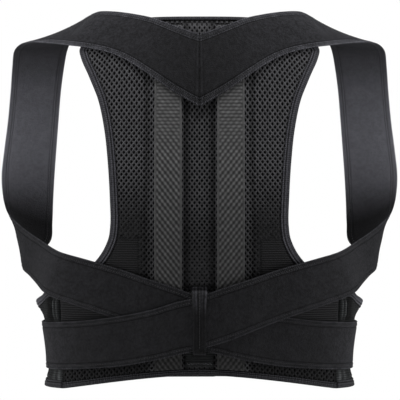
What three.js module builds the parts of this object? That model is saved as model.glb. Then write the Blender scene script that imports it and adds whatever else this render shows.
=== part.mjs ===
// Posture corrector: a mesh back panel, elastic shoulder straps that cross over the
// small of the back, and a waist belt, in the form that they have when worn.
// Millimetres, +Z up. The origin lies midway between the two shoulder crests. The wearer
// faces +Y, so the back panel is on the -Y side and the wearer's right is +X.
import * as THREE from "three";

// Overall sizes
const shoulderToHem = 372; // from the shoulder crests down to the panel's hem corners
const waistHalf = 156; // half the width of the body at the waist
const backDepth = 106; // from the middle of the body back to the shoulder blades
const frontDepth = 112; // from the middle of the body forward to the belly
const armReach = 212; // from the spine out to the widest point of the arm loops
const roundness = 2.3; // power of the body's oval section, 2 is an ellipse

// Back panel
const seamHalf = 141; // half width at the top of the side seams
const seamDrop = 267; // drop of the top of the side seams
const hemHalf = 138; // half width at the hem
const cornerDrop = 8; // drop of the panel's upper corners
const armholeStart = 22; // drop of the armhole bindings' upper ends, under the yoke
const collarRise = 13.2; // height of the collar above the upper corners
const hemRise = 16.4; // height of the middle of the hem above its corners
const panelThickness = 3;
const boundThickness = 2; // cloth pressed flat under a binding or in a seam
const channelStart = 15.5; // from the spine to the inner groove of a stay channel
const channelEnd = 54; // from the spine to the outer groove of a stay channel
const ribHeight = 1.5; // height of the channels above the panel
const grooveHalf = 1.5;
const grooveDepth = 0.8;
const coverStart = 17.5; // from the spine to the inner edge of a cover strip
const coverWidth = 27;
const coverTop = 30; // drop of the strips' upper ends, under the yoke
const coverThickness = 1.2;
const collarHalf = 80; // half the length of the collar's binding
const tabHeight = 19;
const tabThickness = 1.2;

// Waist belt
const wingThickness = 3;
const leftEnd = 195; // degrees from the spine round to the end of the inner belt half
const rightEnd = 205; // degrees to the end of the outer belt half
const wingCorner = 15; // radius of the belt's front corners
const topFlare = 7; // how far the belt's upper edge curls out at the sides
const hemFlare = 3; // how far its lower edge curls out
const foldHeight = 2; // height of the upright folds next to the side seams
const foldWidth = 5;

// Straps, keeper and hook patches
const strapWidth = 51;
const strapThickness = 2;
const selvageThickness = 1.4; // at the strap's edges
const strapEnd = 148; // degrees from the spine round to the strap ends
const strapCorner = 8;
const keeperTopWidth = 16;
const keeperWidth = 13;
const keeperThickness = 1.6;
const keeperFoot = 5; // length of the keeper's ends that lie on the panel
const turnStep = 10; // longest station of the strap's mesh where it turns
const runStep = 20; // and where it runs straight
const hookThickness = 1.2;
const hookLength = 44; // of the patches under the strap ends
const hookMargin = 4; // from the strap's edges to those patches
const beltHookLength = 50;
const beltHookMargin = 18;

// Bindings and clearances
const tapeWidth = 7;
const hemTapeWidth = 5;
const tapeThickness = 0.8;
const tapeGap = 0.7;
const layerGap = 0.6; // between a layer and the one that lies on it
const strapGap = 0.9; // under the straps, which bridge the hollows between layers
const seamGap = 0.5;
const sideSeamGap = 0.9; // between the panel and the belt
const stepWidth = 2; // where pressed cloth swells to its full thickness

const degree = Math.PI / 180;
const { clamp, lerp, smoothstep } = THREE.MathUtils;

// The body inside. Shares: drop of shoulderToHem, half of waistHalf, back of backDepth.
const bodyRows = [
  { drop: -0.035, half: 0.78, back: 0.62 },
  { drop: 0, half: 0.93, back: 0.7 },
  { drop: 0.054, half: 1.05, back: 0.79 },
  { drop: 0.16, half: 1.15, back: 0.915 },
  { drop: 0.323, half: 1.155, back: 1 },
  { drop: 0.484, half: 1.1, back: 1.01 },
  { drop: 0.645, half: 1.06, back: 0.935 },
  { drop: 0.806, half: 1.02, back: 0.84 },
  { drop: 0.927, half: 0.985, back: 0.81 },
  { drop: 1, half: 0.995, back: 0.82 },
];

// The armhole's edge. Shares: drop of seamDrop, half of seamHalf.
const armholeRows = [
  { drop: 0.03, half: 0.74 },
  { drop: 0.1, half: 0.85 },
  { drop: 0.13, half: 0.843 },
  { drop: 0.206, half: 0.782 },
  { drop: 0.294, half: 0.716 },
  { drop: 0.401, half: 0.671 },
  { drop: 0.521, half: 0.645 },
  { drop: 0.674, half: 0.628 },
  { drop: 0.77, half: 0.626 },
  { drop: 0.828, half: 0.645 },
  { drop: 0.903, half: 0.728 },
  { drop: 0.959, half: 0.85 },
  { drop: 1, half: 1 },
];

// The belt's upper edge. Degrees from the spine, and its drop as a share of shoulderToHem.
const wingTopRows = [
  { angle: 60, drop: 0.717 },
  { angle: 75, drop: 0.731 },
  { angle: 85, drop: 0.753 },
  { angle: 95, drop: 0.772 },
  { angle: 120, drop: 0.782 },
  { angle: 180, drop: 0.785 },
  { angle: 210, drop: 0.785 },
];

// The right strap from the seam of the yoke to the crossing. Shares: across and depth of
// armReach, drop of shoulderToHem. The side vector runs from the strap's neck edge to its
// arm edge, in strap widths, as out, fore and down. lie is 1 where the strap lies on the
// layers below it and 0 where it is free. crown is its bulge, in strap widths.
const strapRows = [
  { across: 0, depth: -0.425, drop: 0.134, out: 0, fore: -0.47, down: 1.45, lie: 1, crown: 0 },
  { across: 0.088, depth: -0.42, drop: 0.109, out: 0.19, fore: -0.43, down: 1.28, lie: 1, crown: 0 },
  { across: 0.192, depth: -0.41, drop: 0.077, out: 0.35, fore: -0.39, down: 1.06, lie: 1, crown: 0 },
  { across: 0.29, depth: -0.394, drop: 0.05, out: 0.45, fore: -0.33, down: 0.9, lie: 1, crown: 0 },
  { across: 0.399, depth: -0.358, drop: 0.03, out: 0.46, fore: -0.39, down: 0.81, lie: 1, crown: 0 },
  { across: 0.501, depth: -0.29, drop: 0.017, out: 0.58, fore: -0.45, down: 0.75, lie: 1, crown: 0 },
  { across: 0.585, depth: -0.2, drop: 0.0105, out: 0.73, fore: -0.37, down: 0.67, lie: 0, crown: 0 },
  { across: 0.654, depth: -0.104, drop: 0.012, out: 0.9, fore: -0.31, down: 0.53, lie: 0, crown: 0 },
  { across: 0.712, depth: -0.005, drop: 0.02, out: 1, fore: -0.27, down: 0.34, lie: 0, crown: 0 },
  { across: 0.761, depth: 0.09, drop: 0.036, out: 1.08, fore: -0.2, down: 0.16, lie: 0, crown: 0 },
  { across: 0.793, depth: 0.165, drop: 0.061, out: 1.1, fore: -0.12, down: 0.03, lie: 0, crown: 0 },
  { across: 0.808, depth: 0.219, drop: 0.101, out: 1.08, fore: -0.06, down: 0, lie: 0, crown: 0 },
  { across: 0.824, depth: 0.262, drop: 0.174, out: 1.05, fore: -0.06, down: 0, lie: 0, crown: 0 },
  { across: 0.839, depth: 0.288, drop: 0.26, out: 1.06, fore: -0.04, down: 0, lie: 0, crown: 0 },
  { across: 0.854, depth: 0.3, drop: 0.34, out: 1.09, fore: -0.06, down: 0, lie: 0, crown: 0 },
  { across: 0.865, depth: 0.3, drop: 0.412, out: 1.1, fore: -0.12, down: -0.04, lie: 0, crown: 0 },
  { across: 0.866, depth: 0.29, drop: 0.472, out: 1.05, fore: -0.24, down: -0.22, lie: 0, crown: 0.03 },
  { across: 0.861, depth: 0.264, drop: 0.519, out: 0.98, fore: -0.39, down: -0.43, lie: 0, crown: 0.14 },
  { across: 0.852, depth: 0.229, drop: 0.562, out: 0.84, fore: -0.49, down: -0.59, lie: 0, crown: 0.19 },
  { across: 0.863, depth: 0.167, drop: 0.598, out: 0.28, fore: -0.57, down: -0.68, lie: 0, crown: 0.17 },
  { across: 0.855, depth: 0.085, drop: 0.626, out: -0.2, fore: -0.63, down: -0.71, lie: 0, crown: 0.1 },
  { across: 0.804, depth: -0.009, drop: 0.648, out: -0.36, fore: -0.69, down: -0.72, lie: 0.1, crown: 0.05 },
  { across: 0.737, depth: -0.132, drop: 0.67, out: -0.48, fore: -0.71, down: -0.76, lie: 0.4, crown: 0.03 },
  { across: 0.65, depth: -0.264, drop: 0.691, out: -0.57, fore: -0.55, down: -0.82, lie: 1, crown: 0 },
  { across: 0.545, depth: -0.358, drop: 0.712, out: -0.55, fore: -0.39, down: -0.84, lie: 1, crown: 0 },
  { across: 0.425, depth: -0.422, drop: 0.7355, out: -0.48, fore: -0.22, down: -0.89, lie: 1, crown: 0 },
  { across: 0.286, depth: -0.455, drop: 0.763, out: -0.32, fore: -0.1, down: -0.96, lie: 1, crown: 0 },
  { across: 0.149, depth: -0.47, drop: 0.79, out: -0.2, fore: -0.06, down: -1.03, lie: 1, crown: 0 },
  { across: 0, depth: -0.47, drop: 0.816, out: 0, fore: -0.06, down: -1.06, lie: 1, crown: 0 },
];

// The strap from the crossing round the other side of the waist. Degrees from the spine,
// and the drops of its two edges as shares of shoulderToHem.
const waistRows = [
  { angle: 14, top: 0.758, low: 0.902 },
  { angle: 28, top: 0.7785, low: 0.917 },
  { angle: 45, top: 0.798, low: 0.934 },
  { angle: 60, top: 0.812, low: 0.944 },
  { angle: 75, top: 0.82, low: 0.951 },
  { angle: 90, top: 0.8215, low: 0.952 },
  { angle: 110, top: 0.8215, low: 0.952 },
  { angle: 130, top: 0.8215, low: 0.952 },
  { angle: 148, top: 0.8215, low: 0.952 },
];

// A smooth curve through some columns of a table, by its first column.
function curveThrough(rows, by, columns) {
  const places = rows.map((row) => row[by]);
  const values = rows.flatMap((row) => columns.map((column) => row[column]));
  const curve = new THREE.CubicInterpolant(places, values, columns.length);
  return (place) => Array.from(curve.evaluate(place));
}

const bodyAt = curveThrough(bodyRows, "drop", ["half", "back"]);
const armholeAt = curveThrough(armholeRows, "drop", ["half"]);
const wingTopAt = curveThrough(wingTopRows, "angle", ["drop"]);

// Points on the body

// The two radii of the body's oval section at a drop, towards the side and the back.
function bodyRadii(drop) {
  const [half, back] = bodyAt(drop / shoulderToHem);
  return { side: half * waistHalf, back: back * backDepth };
}

// A point at an angle from the spine and a drop, some way off the body's surface.
function bodyPoint(angle, drop, off) {
  const radii = bodyRadii(drop);
  const across = Math.sin(angle);
  const rearward = Math.cos(angle);
  const depth = rearward > 0 ? radii.back : frontDepth;
  const sum = Math.abs(across / radii.side) ** roundness + Math.abs(rearward / depth) ** roundness;
  const radius = sum ** (-1 / roundness);
  const x = radius * across;
  const y = -radius * rearward;
  const normal = new THREE.Vector3(
    (Math.sign(x) * Math.abs(x / radii.side) ** (roundness - 1)) / radii.side,
    (Math.sign(y) * Math.abs(y / depth) ** (roundness - 1)) / depth,
    0,
  ).normalize();
  return new THREE.Vector3(x, y, -drop).addScaledVector(normal, off);
}

// The angle from the spine at which the back of the body is so far across.
function angleAcross(across, drop) {
  const radii = bodyRadii(drop);
  const share = Math.min(Math.abs(across / radii.side), 1);
  return Math.atan2(across, radii.back * (1 - share ** roundness) ** (1 / roundness));
}

// Distances round the waist from the spine, for converting lengths of belt to angles.
const waistLine = [];
for (let turn = 0; turn <= 220; turn += 2) {
  const point = bodyPoint(turn * degree, 0.9 * shoulderToHem, 0);
  const last = waistLine.at(-1);
  const length = last ? last.length + point.distanceTo(last.point) : 0;
  waistLine.push({ turn, length, point });
}
const turnAtLength = curveThrough(waistLine, "length", ["turn"]);
const lengthAtTurn = curveThrough(waistLine, "turn", ["length"]);

// Solids

// One closed solid from a grid of stations. Each station is a list of pairs of points, one
// on the outer and one on the inner face.
function clothSolid(stations) {
  const columns = stations[0].length;
  const positions = stations.flat().flatMap(({ outer, inner }) => [...outer, ...inner]);
  const outer = (i, j) => 2 * (i * columns + j);
  const inner = (i, j) => outer(i, j) + 1;
  const faces = [];
  const corner = (index) => new THREE.Vector3().fromArray(positions, 3 * index);
  const quad = (a, b, c, d) => {
    const across = corner(a).distanceTo(corner(c)) <= corner(b).distanceTo(corner(d));
    faces.push(...(across ? [a, b, c, a, c, d] : [a, b, d, b, c, d]));
  };
  for (let i = 0; i < stations.length - 1; i += 1) {
    for (let j = 0; j < columns - 1; j += 1) {
      quad(outer(i, j), outer(i + 1, j), outer(i + 1, j + 1), outer(i, j + 1));
      quad(inner(i, j), inner(i, j + 1), inner(i + 1, j + 1), inner(i + 1, j));
    }
    quad(outer(i, 0), inner(i, 0), inner(i + 1, 0), outer(i + 1, 0));
    quad(outer(i, columns - 1), outer(i + 1, columns - 1), inner(i + 1, columns - 1), inner(i, columns - 1));
  }
  const last = stations.length - 1;
  for (let j = 0; j < columns - 1; j += 1) {
    quad(outer(0, j), outer(0, j + 1), inner(0, j + 1), inner(0, j));
    quad(outer(last, j), inner(last, j), inner(last, j + 1), outer(last, j + 1));
  }
  const geometry = new THREE.BufferGeometry();
  geometry.setAttribute("position", new THREE.Float32BufferAttribute(positions, 3));
  geometry.setIndex(signedVolume(positions, faces) > 0 ? faces : faces.reverse());
  geometry.computeVertexNormals();
  return geometry;
}

function signedVolume(positions, faces) {
  const corner = (index) => new THREE.Vector3().fromArray(positions, 3 * index);
  let volume = 0;
  for (let k = 0; k < faces.length; k += 3) {
    volume += corner(faces[k]).dot(corner(faces[k + 1]).cross(corner(faces[k + 2]))) / 6;
  }
  return volume;
}

// Places with even steps from a start to an end, both included.
function evenSteps(start, end, count) {
  return Array.from({ length: count + 1 }, (_, k) => lerp(start, end, k / count));
}

const mirrored = (geometry) => {
  const copy = geometry.clone().scale(-1, 1, 1);
  copy.setIndex(Array.from(copy.index.array).reverse());
  copy.computeVertexNormals();
  return copy;
};

// A tape folded over the edge of bound cloth. The edge is a row of points in the cloth's own
// flat plane, with the cloth on its left, and place turns that plane into space.
function foldedTape(edge, place, width = tapeWidth) {
  const top = boundThickness + tapeGap;
  const bottom = -tapeGap;
  const section = [
    { outer: [width, top + tapeThickness], inner: [width, top] },
    { outer: [-tapeGap - tapeThickness, top + tapeThickness / 2], inner: [-tapeGap, top] },
    { outer: [-tapeGap - tapeThickness, bottom - tapeThickness / 2], inner: [-tapeGap, bottom] },
    { outer: [width, bottom - tapeThickness], inner: [width, bottom] },
  ];
  return clothSolid(
    edge.map((on, k) => {
      const last = edge[Math.max(k - 1, 0)];
      const run = edge[Math.min(k + 1, edge.length - 1)].clone().sub(last).normalize();
      const spot = ([inward, off]) => place(on.x - run.y * inward, on.y + run.x * inward, off);
      return section.map(({ outer, inner }) => ({ outer: spot(outer), inner: spot(inner) }));
    }),
  );
}

// Back panel. Its plane has the distance across from the spine and the drop.

const panelPlace = (across, drop, off) => bodyPoint(angleAcross(across, drop), drop, off);

const topDrop = (across) =>
  cornerDrop - collarRise * (1 - Math.min(Math.abs(across) / (armholeAt(0.03)[0] * seamHalf), 1) ** 4);

const hemDrop = (across) => shoulderToHem - hemRise * (1 - Math.min(Math.abs(across) / hemHalf, 1) ** 1.6);

// Half the panel's width at a level, which counts from the upper corners to the hem corners.
function panelHalf(level) {
  if (level < seamDrop) {
    return armholeAt(level / seamDrop)[0] * seamHalf;
  }
  return lerp(seamHalf, hemHalf, (level - seamDrop) / (shoulderToHem - seamDrop));
}

// The drop at a level, bent up towards the collar and the hem.
function levelDrop(level, across) {
  const nearTop = 1 - smoothstep(level, cornerDrop, 0.3 * shoulderToHem);
  const nearHem = smoothstep(level, seamDrop, shoulderToHem);
  const collar = (topDrop(across) - cornerDrop) * nearTop;
  return level + collar + (hemDrop(across) - shoulderToHem) * nearHem;
}

// Height of the panel's outer face. swell is 0 where the cloth is pressed under a binding.
function panelHeight(across, swell) {
  const place = Math.abs(across);
  const fromGroove = Math.min(Math.abs(place - channelStart), Math.abs(place - channelEnd));
  const groove = fromGroove < grooveHalf / 2 ? -grooveDepth : 0;
  const rib = place > channelStart + grooveHalf / 2 && place < channelEnd - grooveHalf / 2 ? ribHeight : 0;
  return lerp(boundThickness, panelThickness + groove + rib, swell);
}

const pressed = tapeWidth + seamGap; // width of the cloth that is pressed flat in a binding
const hemPressed = hemTapeWidth + seamGap;
const armholeTop = armholeRows[2].drop * seamDrop;
const panelLevels = [
  { level: cornerDrop, swell: 0 },
  { level: cornerDrop + pressed, swell: 0 },
  { level: cornerDrop + pressed + stepWidth, swell: 1 },
  { level: armholeStart, swell: 1 },
  { level: armholeRows[1].drop * seamDrop, swell: 1 },
  ...evenSteps(0, 1, 15).map((share) => ({
    level: lerp(armholeTop, seamDrop, 1 - (1 - share) ** 1.3),
    swell: 1,
  })),
  ...evenSteps(seamDrop, shoulderToHem - hemPressed - stepWidth, 4)
    .slice(1)
    .map((level) => ({ level, swell: 1 })),
  { level: shoulderToHem - hemPressed, swell: 0 },
  { level: shoulderToHem, swell: 0 },
];

// The places across the right half of the panel at a level, from the spine to the edge.
// Where the edge slants, its binding covers a wider stretch across.
function panelColumns(level) {
  const half = panelHalf(level);
  const slant = Math.hypot(1, (panelHalf(level + 1) - panelHalf(level - 1)) / 2);
  const free = half - (pressed + stepWidth) * slant;
  const freeSwell = Math.abs(level - seamDrop) < 3 * tapeWidth ? 0 : 1;
  const flat = channelEnd + grooveHalf;
  const ribs = [channelStart - grooveHalf, channelStart, channelStart + grooveHalf];
  ribs.push(channelEnd - grooveHalf, channelEnd, flat, lerp(flat, free, 0.35), lerp(flat, free, 0.7));
  return [
    { across: 0, swell: 1 },
    ...ribs.map((across) => ({ across, swell: 1 })),
    { across: free, swell: freeSwell },
    { across: half - pressed * slant, swell: 0 },
    { across: half, swell: 0 },
  ];
}

const bothSides = (right) => [
  ...right
    .slice(1)
    .reverse()
    .map((column) => ({ ...column, across: -column.across })),
  ...right,
];

function backPanel() {
  return clothSolid(
    panelLevels.map(({ level, swell }) =>
      bothSides(panelColumns(level)).map((column) => {
        const drop = levelDrop(level, column.across);
        const height = panelHeight(column.across, Math.min(swell, column.swell));
        return {
          outer: panelPlace(column.across, drop, height),
          inner: panelPlace(column.across, drop, 0),
        };
      }),
    ),
  );
}

const channelTop = panelThickness + ribHeight; // height of the channels' outer faces

// A strip of webbing along the right-hand channel.
function channelCover() {
  const low = channelTop + layerGap;
  const hemClear = hemPressed + stepWidth + layerGap;
  return clothSolid(
    evenSteps(0, 1, 20).map((share) =>
      evenSteps(coverStart, coverStart + coverWidth, 2).map((across) => {
        const drop = lerp(coverTop, hemDrop(across) - hemClear, share);
        return {
          outer: panelPlace(across, drop, low + coverThickness),
          inner: panelPlace(across, drop, low),
        };
      }),
    ),
  );
}

// The stitched tab between the crossing of the straps and the hem.
function hemTab() {
  const half = channelStart - grooveHalf;
  const low = panelThickness + layerGap;
  return clothSolid(
    evenSteps(0, 1, 3).map((share) =>
      evenSteps(-half, half, 4).map((across) => {
        const bottom = hemDrop(across) - hemPressed - stepWidth - layerGap;
        const drop = lerp(bottom - tabHeight, bottom, share);
        return {
          outer: panelPlace(across, drop, low + tabThickness),
          inner: panelPlace(across, drop, low),
        };
      }),
    ),
  );
}

// Bindings of the panel follow the columns and levels of its cloth.

function collarBinding() {
  const columns = bothSides(panelColumns(cornerDrop)).filter(({ across }) => Math.abs(across) < collarHalf);
  return foldedTape(
    columns.map(({ across }) => new THREE.Vector2(across, topDrop(across))),
    panelPlace,
  );
}

function hemBinding() {
  const columns = bothSides(panelColumns(shoulderToHem)).reverse();
  const end = panelHalf(shoulderToHem) - 3 * layerGap;
  return foldedTape(
    columns.map(({ across }) => new THREE.Vector2(clamp(across, -end, end), hemDrop(across))),
    panelPlace,
    hemTapeWidth,
  );
}

// The tape on the right-hand armhole, from under the yoke to the side seam.
function armholeBinding() {
  const levels = panelLevels.map(({ level }) => level).filter((level) => level >= armholeStart);
  const edge = levels.filter((level) => level < seamDrop - 1).concat(seamDrop - 2);
  return foldedTape(
    edge.map((level) => new THREE.Vector2(panelHalf(level), levelDrop(level, panelHalf(level)))),
    panelPlace,
  );
}

// Belt. Its plane has the length round the waist from the spine and the drop.

const wingStart = (drop) => {
  const seam = panelPlace(panelHalf(drop), drop, 0);
  return lengthAtTurn(Math.atan2(seam.x, -seam.y) / degree)[0] + sideSeamGap;
};

// How far the belt stands off the body: its curled edges, its folds by the seam and, on the
// half that closes over the other, the step over what lies between them.
function wingOff(length, drop, over) {
  const turn = turnAtLength(length)[0];
  const edgeDrop = wingTopAt(turn)[0] * shoulderToHem;
  const strapTop = waistRows.at(-1).top * shoulderToHem;
  const curl = 1 - smoothstep(drop, edgeDrop, strapTop - layerGap);
  const side = smoothstep(turn, 82, 92) * (1 - 0.85 * smoothstep(turn, 98, 130));
  const hemCurl = smoothstep(drop, waistRows.at(-1).low * shoulderToHem, shoulderToHem);
  const hemSide = smoothstep(turn, 62, 80);
  const overlap = smoothstep(turn, 150, 163) * (wingThickness + hookThickness + 2 * layerGap);
  return topFlare * curl * side + hemFlare * hemCurl * hemSide + (over ? overlap : 0);
}

// The upright folds next to the side seam, between the belt's binding and the strap.
function foldOff(length, drop) {
  const fromSeam = (length - wingStart(seamDrop)) / foldWidth;
  if (fromSeam < 0 || fromSeam > 2.5) {
    return 0;
  }
  const strapTop = waistRows[4].top * shoulderToHem;
  const top = wingTopAt(75)[0] * shoulderToHem + tapeWidth;
  const middle = smoothstep(drop, top, top + 6) * (1 - smoothstep(drop, strapTop - 8, strapTop - 2));
  return foldHeight * middle * Math.sin(Math.PI * fromSeam) ** 2;
}

// The belt's edges at a length, drawn in at the rounded front corners.
function wingEdges(length, end) {
  const left = clamp(end - length, 0, wingCorner);
  const inset = wingCorner - Math.sqrt(wingCorner ** 2 - (wingCorner - left) ** 2);
  const top = wingTopAt(turnAtLength(length)[0])[0] * shoulderToHem;
  return { top: top + inset, low: shoulderToHem - inset };
}

// The lengths at which the belt's cloth and its binding have a station.
function wingLengths(end) {
  const start = wingStart(seamDrop);
  const folds = evenSteps(0, 2.5 * foldWidth, 5);
  const long = evenSteps(4 * foldWidth, end - wingCorner - start, 18);
  const corner = [0.55, 0.85, 1].map((share) => end - start - (1 - share) * wingCorner);
  return [...folds, ...long, ...corner].map((fromSeam) => start + fromSeam);
}

// The side seam leans, so the belt's first stations lean with it.
function leanLength(length, drop) {
  const start = wingStart(seamDrop);
  return length + (wingStart(drop) - start) * (1 - smoothstep(length - start, 0, 60));
}

function wingPlace(length, drop, off) {
  return bodyPoint(turnAtLength(leanLength(length, drop))[0] * degree, drop, off);
}

function beltWing(endTurn, over) {
  const end = lengthAtTurn(endTurn)[0];
  const start = wingStart(seamDrop);
  const shares = [0.14, 0.22, 0.3, 0.38, 0.6, 0.82];
  return clothSolid(
    wingLengths(end).map((length) => {
      const edges = wingEdges(length, end);
      const rows = [
        { drop: edges.top, swell: 0 },
        { drop: edges.top + pressed, swell: 0 },
        ...shares.map((share) => ({ drop: lerp(edges.top, edges.low, share), swell: 1 })),
        { drop: edges.low - pressed, swell: 0 },
        { drop: edges.low, swell: 0 },
      ];
      const inward = Math.min(length - start, end - length);
      const endSwell = clamp((inward - pressed) / stepWidth, 0, 1);
      return rows.map(({ drop, swell }) => {
        const low = wingOff(length, drop, over) + foldOff(length, drop);
        const thickness = lerp(boundThickness, wingThickness, Math.min(swell, endSwell));
        return {
          outer: wingPlace(length, drop, low + thickness),
          inner: wingPlace(length, drop, low),
        };
      });
    }),
  );
}

// The tape round the belt half, along its top, down its front end and back along its hem.
function wingBinding(endTurn, over) {
  const end = lengthAtTurn(endTurn)[0];
  const lengths = wingLengths(end);
  lengths[0] += layerGap;
  const point = (length, edge) => new THREE.Vector2(length, wingEdges(length, end)[edge]);
  const points = [
    ...lengths.map((length) => point(length, "top")),
    ...lengths.reverse().map((length) => point(length, "low")),
  ];
  const place = (length, drop, off) => wingPlace(length, drop, off + wingOff(length, drop, over));
  return foldedTape(points, place);
}

// A flat patch on the belt, between two turns in degrees and two drops.
function beltPatch(turns, drops, height) {
  return clothSolid(
    evenSteps(turns[0], turns[1], 6).map((turn) =>
      evenSteps(drops[0], drops[1], 2).map((drop) => ({
        outer: bodyPoint(turn * degree, drop, height + hookThickness),
        inner: bodyPoint(turn * degree, drop, height),
      })),
    ),
  );
}

// Straps

const boundTop = boundThickness + tapeGap + tapeThickness; // height of a binding's outer face
const coverFace = channelTop + layerGap + coverThickness;
const bandTop = waistRows.at(-1).top * shoulderToHem;
const bandLow = waistRows.at(-1).low * shoulderToHem;
const hookTurn = lengthAtTurn(strapEnd)[0] - hookMargin;
const hookTurns = [turnAtLength(hookTurn - hookLength)[0], turnAtLength(hookTurn)[0]];

// Height of the strap's inner face off the body: over the channel covers at the spine, over
// the bindings further out, over the hook patch at its end, and over the other strap.
function strapOff(angle, drop, over) {
  const turn = Math.abs(angle) / degree;
  const coverTurn = angleAcross(coverStart + coverWidth, drop) / degree;
  const nearCover = 1 - smoothstep(turn, coverTurn + 1, coverTurn + 14);
  const nearHook = smoothstep(turn, hookTurns[0] - 14, hookTurns[0] - 2);
  const base = lerp(boundTop, coverFace, nearCover) + strapGap;
  const hook = (wingThickness + layerGap + hookThickness - boundTop) * nearHook;
  const crossing = 1 - smoothstep(turn, 52, 70);
  const step = over && drop > shoulderToHem / 2 ? (strapThickness + strapGap) * crossing : 0;
  return base + hook + step;
}

// The strap's control rows in millimetres, from the yoke to its end at the front.
function strapRoute() {
  const rows = strapRows.map((row) => ({
    x: row.across * armReach,
    y: row.depth * armReach,
    drop: row.drop * shoulderToHem,
    out: row.out * strapWidth,
    fore: row.fore * strapWidth,
    down: row.down * strapWidth,
    lie: row.lie,
    crown: row.crown * strapWidth,
  }));
  for (const { angle, top, low } of waistRows) {
    const drop = ((top + low) / 2) * shoulderToHem;
    const point = bodyPoint(-angle * degree, drop, boundTop);
    const down = (top - low) * shoulderToHem;
    rows.push({ x: point.x, y: point.y, drop, out: 0, fore: 0, down, lie: 1, crown: 0 });
  }
  rows[0].along = 0;
  for (let k = 1; k < rows.length; k += 1) {
    const last = rows[k - 1];
    const step = Math.hypot(rows[k].x - last.x, rows[k].y - last.y, rows[k].drop - last.drop);
    rows[k].along = last.along + step;
  }
  return rows;
}

const strapSection = [
  { across: -1, thickness: selvageThickness },
  { across: -0.55, thickness: strapThickness },
  { across: 0, thickness: strapThickness },
  { across: 0.55, thickness: strapThickness },
  { across: 1, thickness: selvageThickness },
];

// Distances along the strap at which it has a station, closer together where it turns.
function strapPlaces(rows) {
  const places = [0];
  for (let k = 1; k < rows.length; k += 1) {
    const step = rows[k].crown > 0 ? turnStep : runStep;
    const last = k === rows.length - 1 ? rows[k].along - strapCorner : rows[k].along;
    const count = Math.ceil((last - rows[k - 1].along) / step);
    places.push(...evenSteps(rows[k - 1].along, last, count).slice(1));
  }
  const total = rows.at(-1).along;
  return [...places, total - 0.45 * strapCorner, total];
}

// The right shoulder's strap, raised where it lies over the other one if over is true.
function shoulderStrap(over) {
  const rows = strapRoute();
  const total = rows.at(-1).along;
  const routeAt = curveThrough(rows, "along", ["x", "y", "drop", "out", "fore", "down", "lie", "crown"]);
  const centreAt = (along) => {
    const [x, y, drop] = routeAt(clamp(along, 0, total));
    return new THREE.Vector3(x, y, -drop);
  };
  const middles = strapPlaces(rows).map((along) => {
    const [x, y, drop, out, fore, down, lie, crown] = routeAt(along);
    const left = clamp(total - along, 0, strapCorner);
    const inset = strapCorner - Math.sqrt(strapCorner ** 2 - (strapCorner - left) ** 2);
    const narrow = 1 - (2 * inset) / strapWidth;
    const side = new THREE.Vector3(out, fore, -down);
    const run = centreAt(along + 1).sub(centreAt(along - 1));
    const outward = side.clone().cross(run).normalize();
    return strapSection.map(({ across }) => {
      const free = new THREE.Vector3(x, y, -drop).addScaledVector(side, (across * narrow) / 2);
      free.addScaledVector(outward, crown * (1 - across ** 2));
      const angle = Math.atan2(free.x, -free.y);
      const height = strapOff(angle, -free.z, over) + strapThickness / 2;
      return free.clone().lerp(bodyPoint(angle, -free.z, height), clamp(lie, 0, 1));
    });
  });
  const stations = middles.map((row, i) =>
    row.map((middle, j) => {
      const after = middles[Math.min(i + 1, middles.length - 1)][j];
      const before = middles[Math.max(i - 1, 0)][j];
      const side = row[Math.min(j + 1, row.length - 1)].clone().sub(row[Math.max(j - 1, 0)]);
      const outward = side.cross(after.clone().sub(before)).normalize();
      const half = strapSection[j].thickness / 2;
      const outer = middle.clone().addScaledVector(outward, half);
      const inner = middle.clone().addScaledVector(outward, -half);
      if (i === 0) {
        outer.x = seamGap;
        inner.x = seamGap;
      }
      return { outer, inner };
    }),
  );
  return clothSolid(stations);
}

// The keeper: sewn to the panel above and below the crossing, and over both straps between.
function keeperLoop() {
  const [aside, crossing] = strapRows.slice(-2);
  const upper = (row) => row.drop * shoulderToHem + (row.down * strapWidth) / 2;
  const lower = (row) => row.drop * shoulderToHem - (row.down * strapWidth) / 2;
  const rise = (upper(crossing) - upper(aside)) / (aside.across * armReach);
  const top = upper(crossing) - (rise * keeperTopWidth) / 2 - layerGap;
  const low = lower(crossing) + (rise * keeperWidth) / 2 + layerGap;
  const onPanel = panelThickness + layerGap;
  const onTab = onPanel + tabThickness + layerGap;
  const onStraps = coverFace + 2 * (strapThickness + strapGap) + layerGap;
  const section = [
    { drop: top - keeperThickness - keeperFoot, off: onPanel, width: keeperTopWidth },
    { drop: top - keeperThickness - 1, off: onPanel, width: keeperTopWidth },
    { drop: top - keeperThickness, off: onPanel + keeperThickness, width: keeperTopWidth },
    { drop: top, off: onStraps, width: keeperTopWidth },
    { drop: lerp(top, low, 0.3), off: onStraps, width: keeperWidth },
    { drop: lerp(top, low, 0.7), off: onStraps, width: keeperWidth },
    { drop: low, off: onStraps, width: keeperWidth },
    { drop: low + keeperThickness, off: onTab + keeperThickness, width: keeperWidth },
    { drop: low + keeperThickness + 1, off: onTab, width: keeperWidth },
  ];
  return clothSolid(
    section.map(({ drop, off, width }) =>
      evenSteps(-width / 2, width / 2, 2).map((across) => ({
        outer: panelPlace(across, drop, off + keeperThickness),
        inner: panelPlace(across, drop, off),
      })),
    ),
  );
}

// Materials

const cloth = (colour, roughness) => new THREE.MeshStandardMaterial({ color: colour, roughness, metalness: 0 });
const meshCloth = cloth(0x25262a, 0.95);
const beltCloth = cloth(0x2a2b2f, 0.95);
const elastic = cloth(0x2d2d30, 0.9);
const webbing = cloth(0x4a4a4d, 0.9);
const tape = cloth(0x303135, 0.85);
const hook = cloth(0x1d1d1f, 0.7);

// Assembly

const corrector = new THREE.Group();

function addPiece(name, geometry, material) {
  const mesh = new THREE.Mesh(geometry, material);
  mesh.name = name;
  corrector.add(mesh);
}

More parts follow.
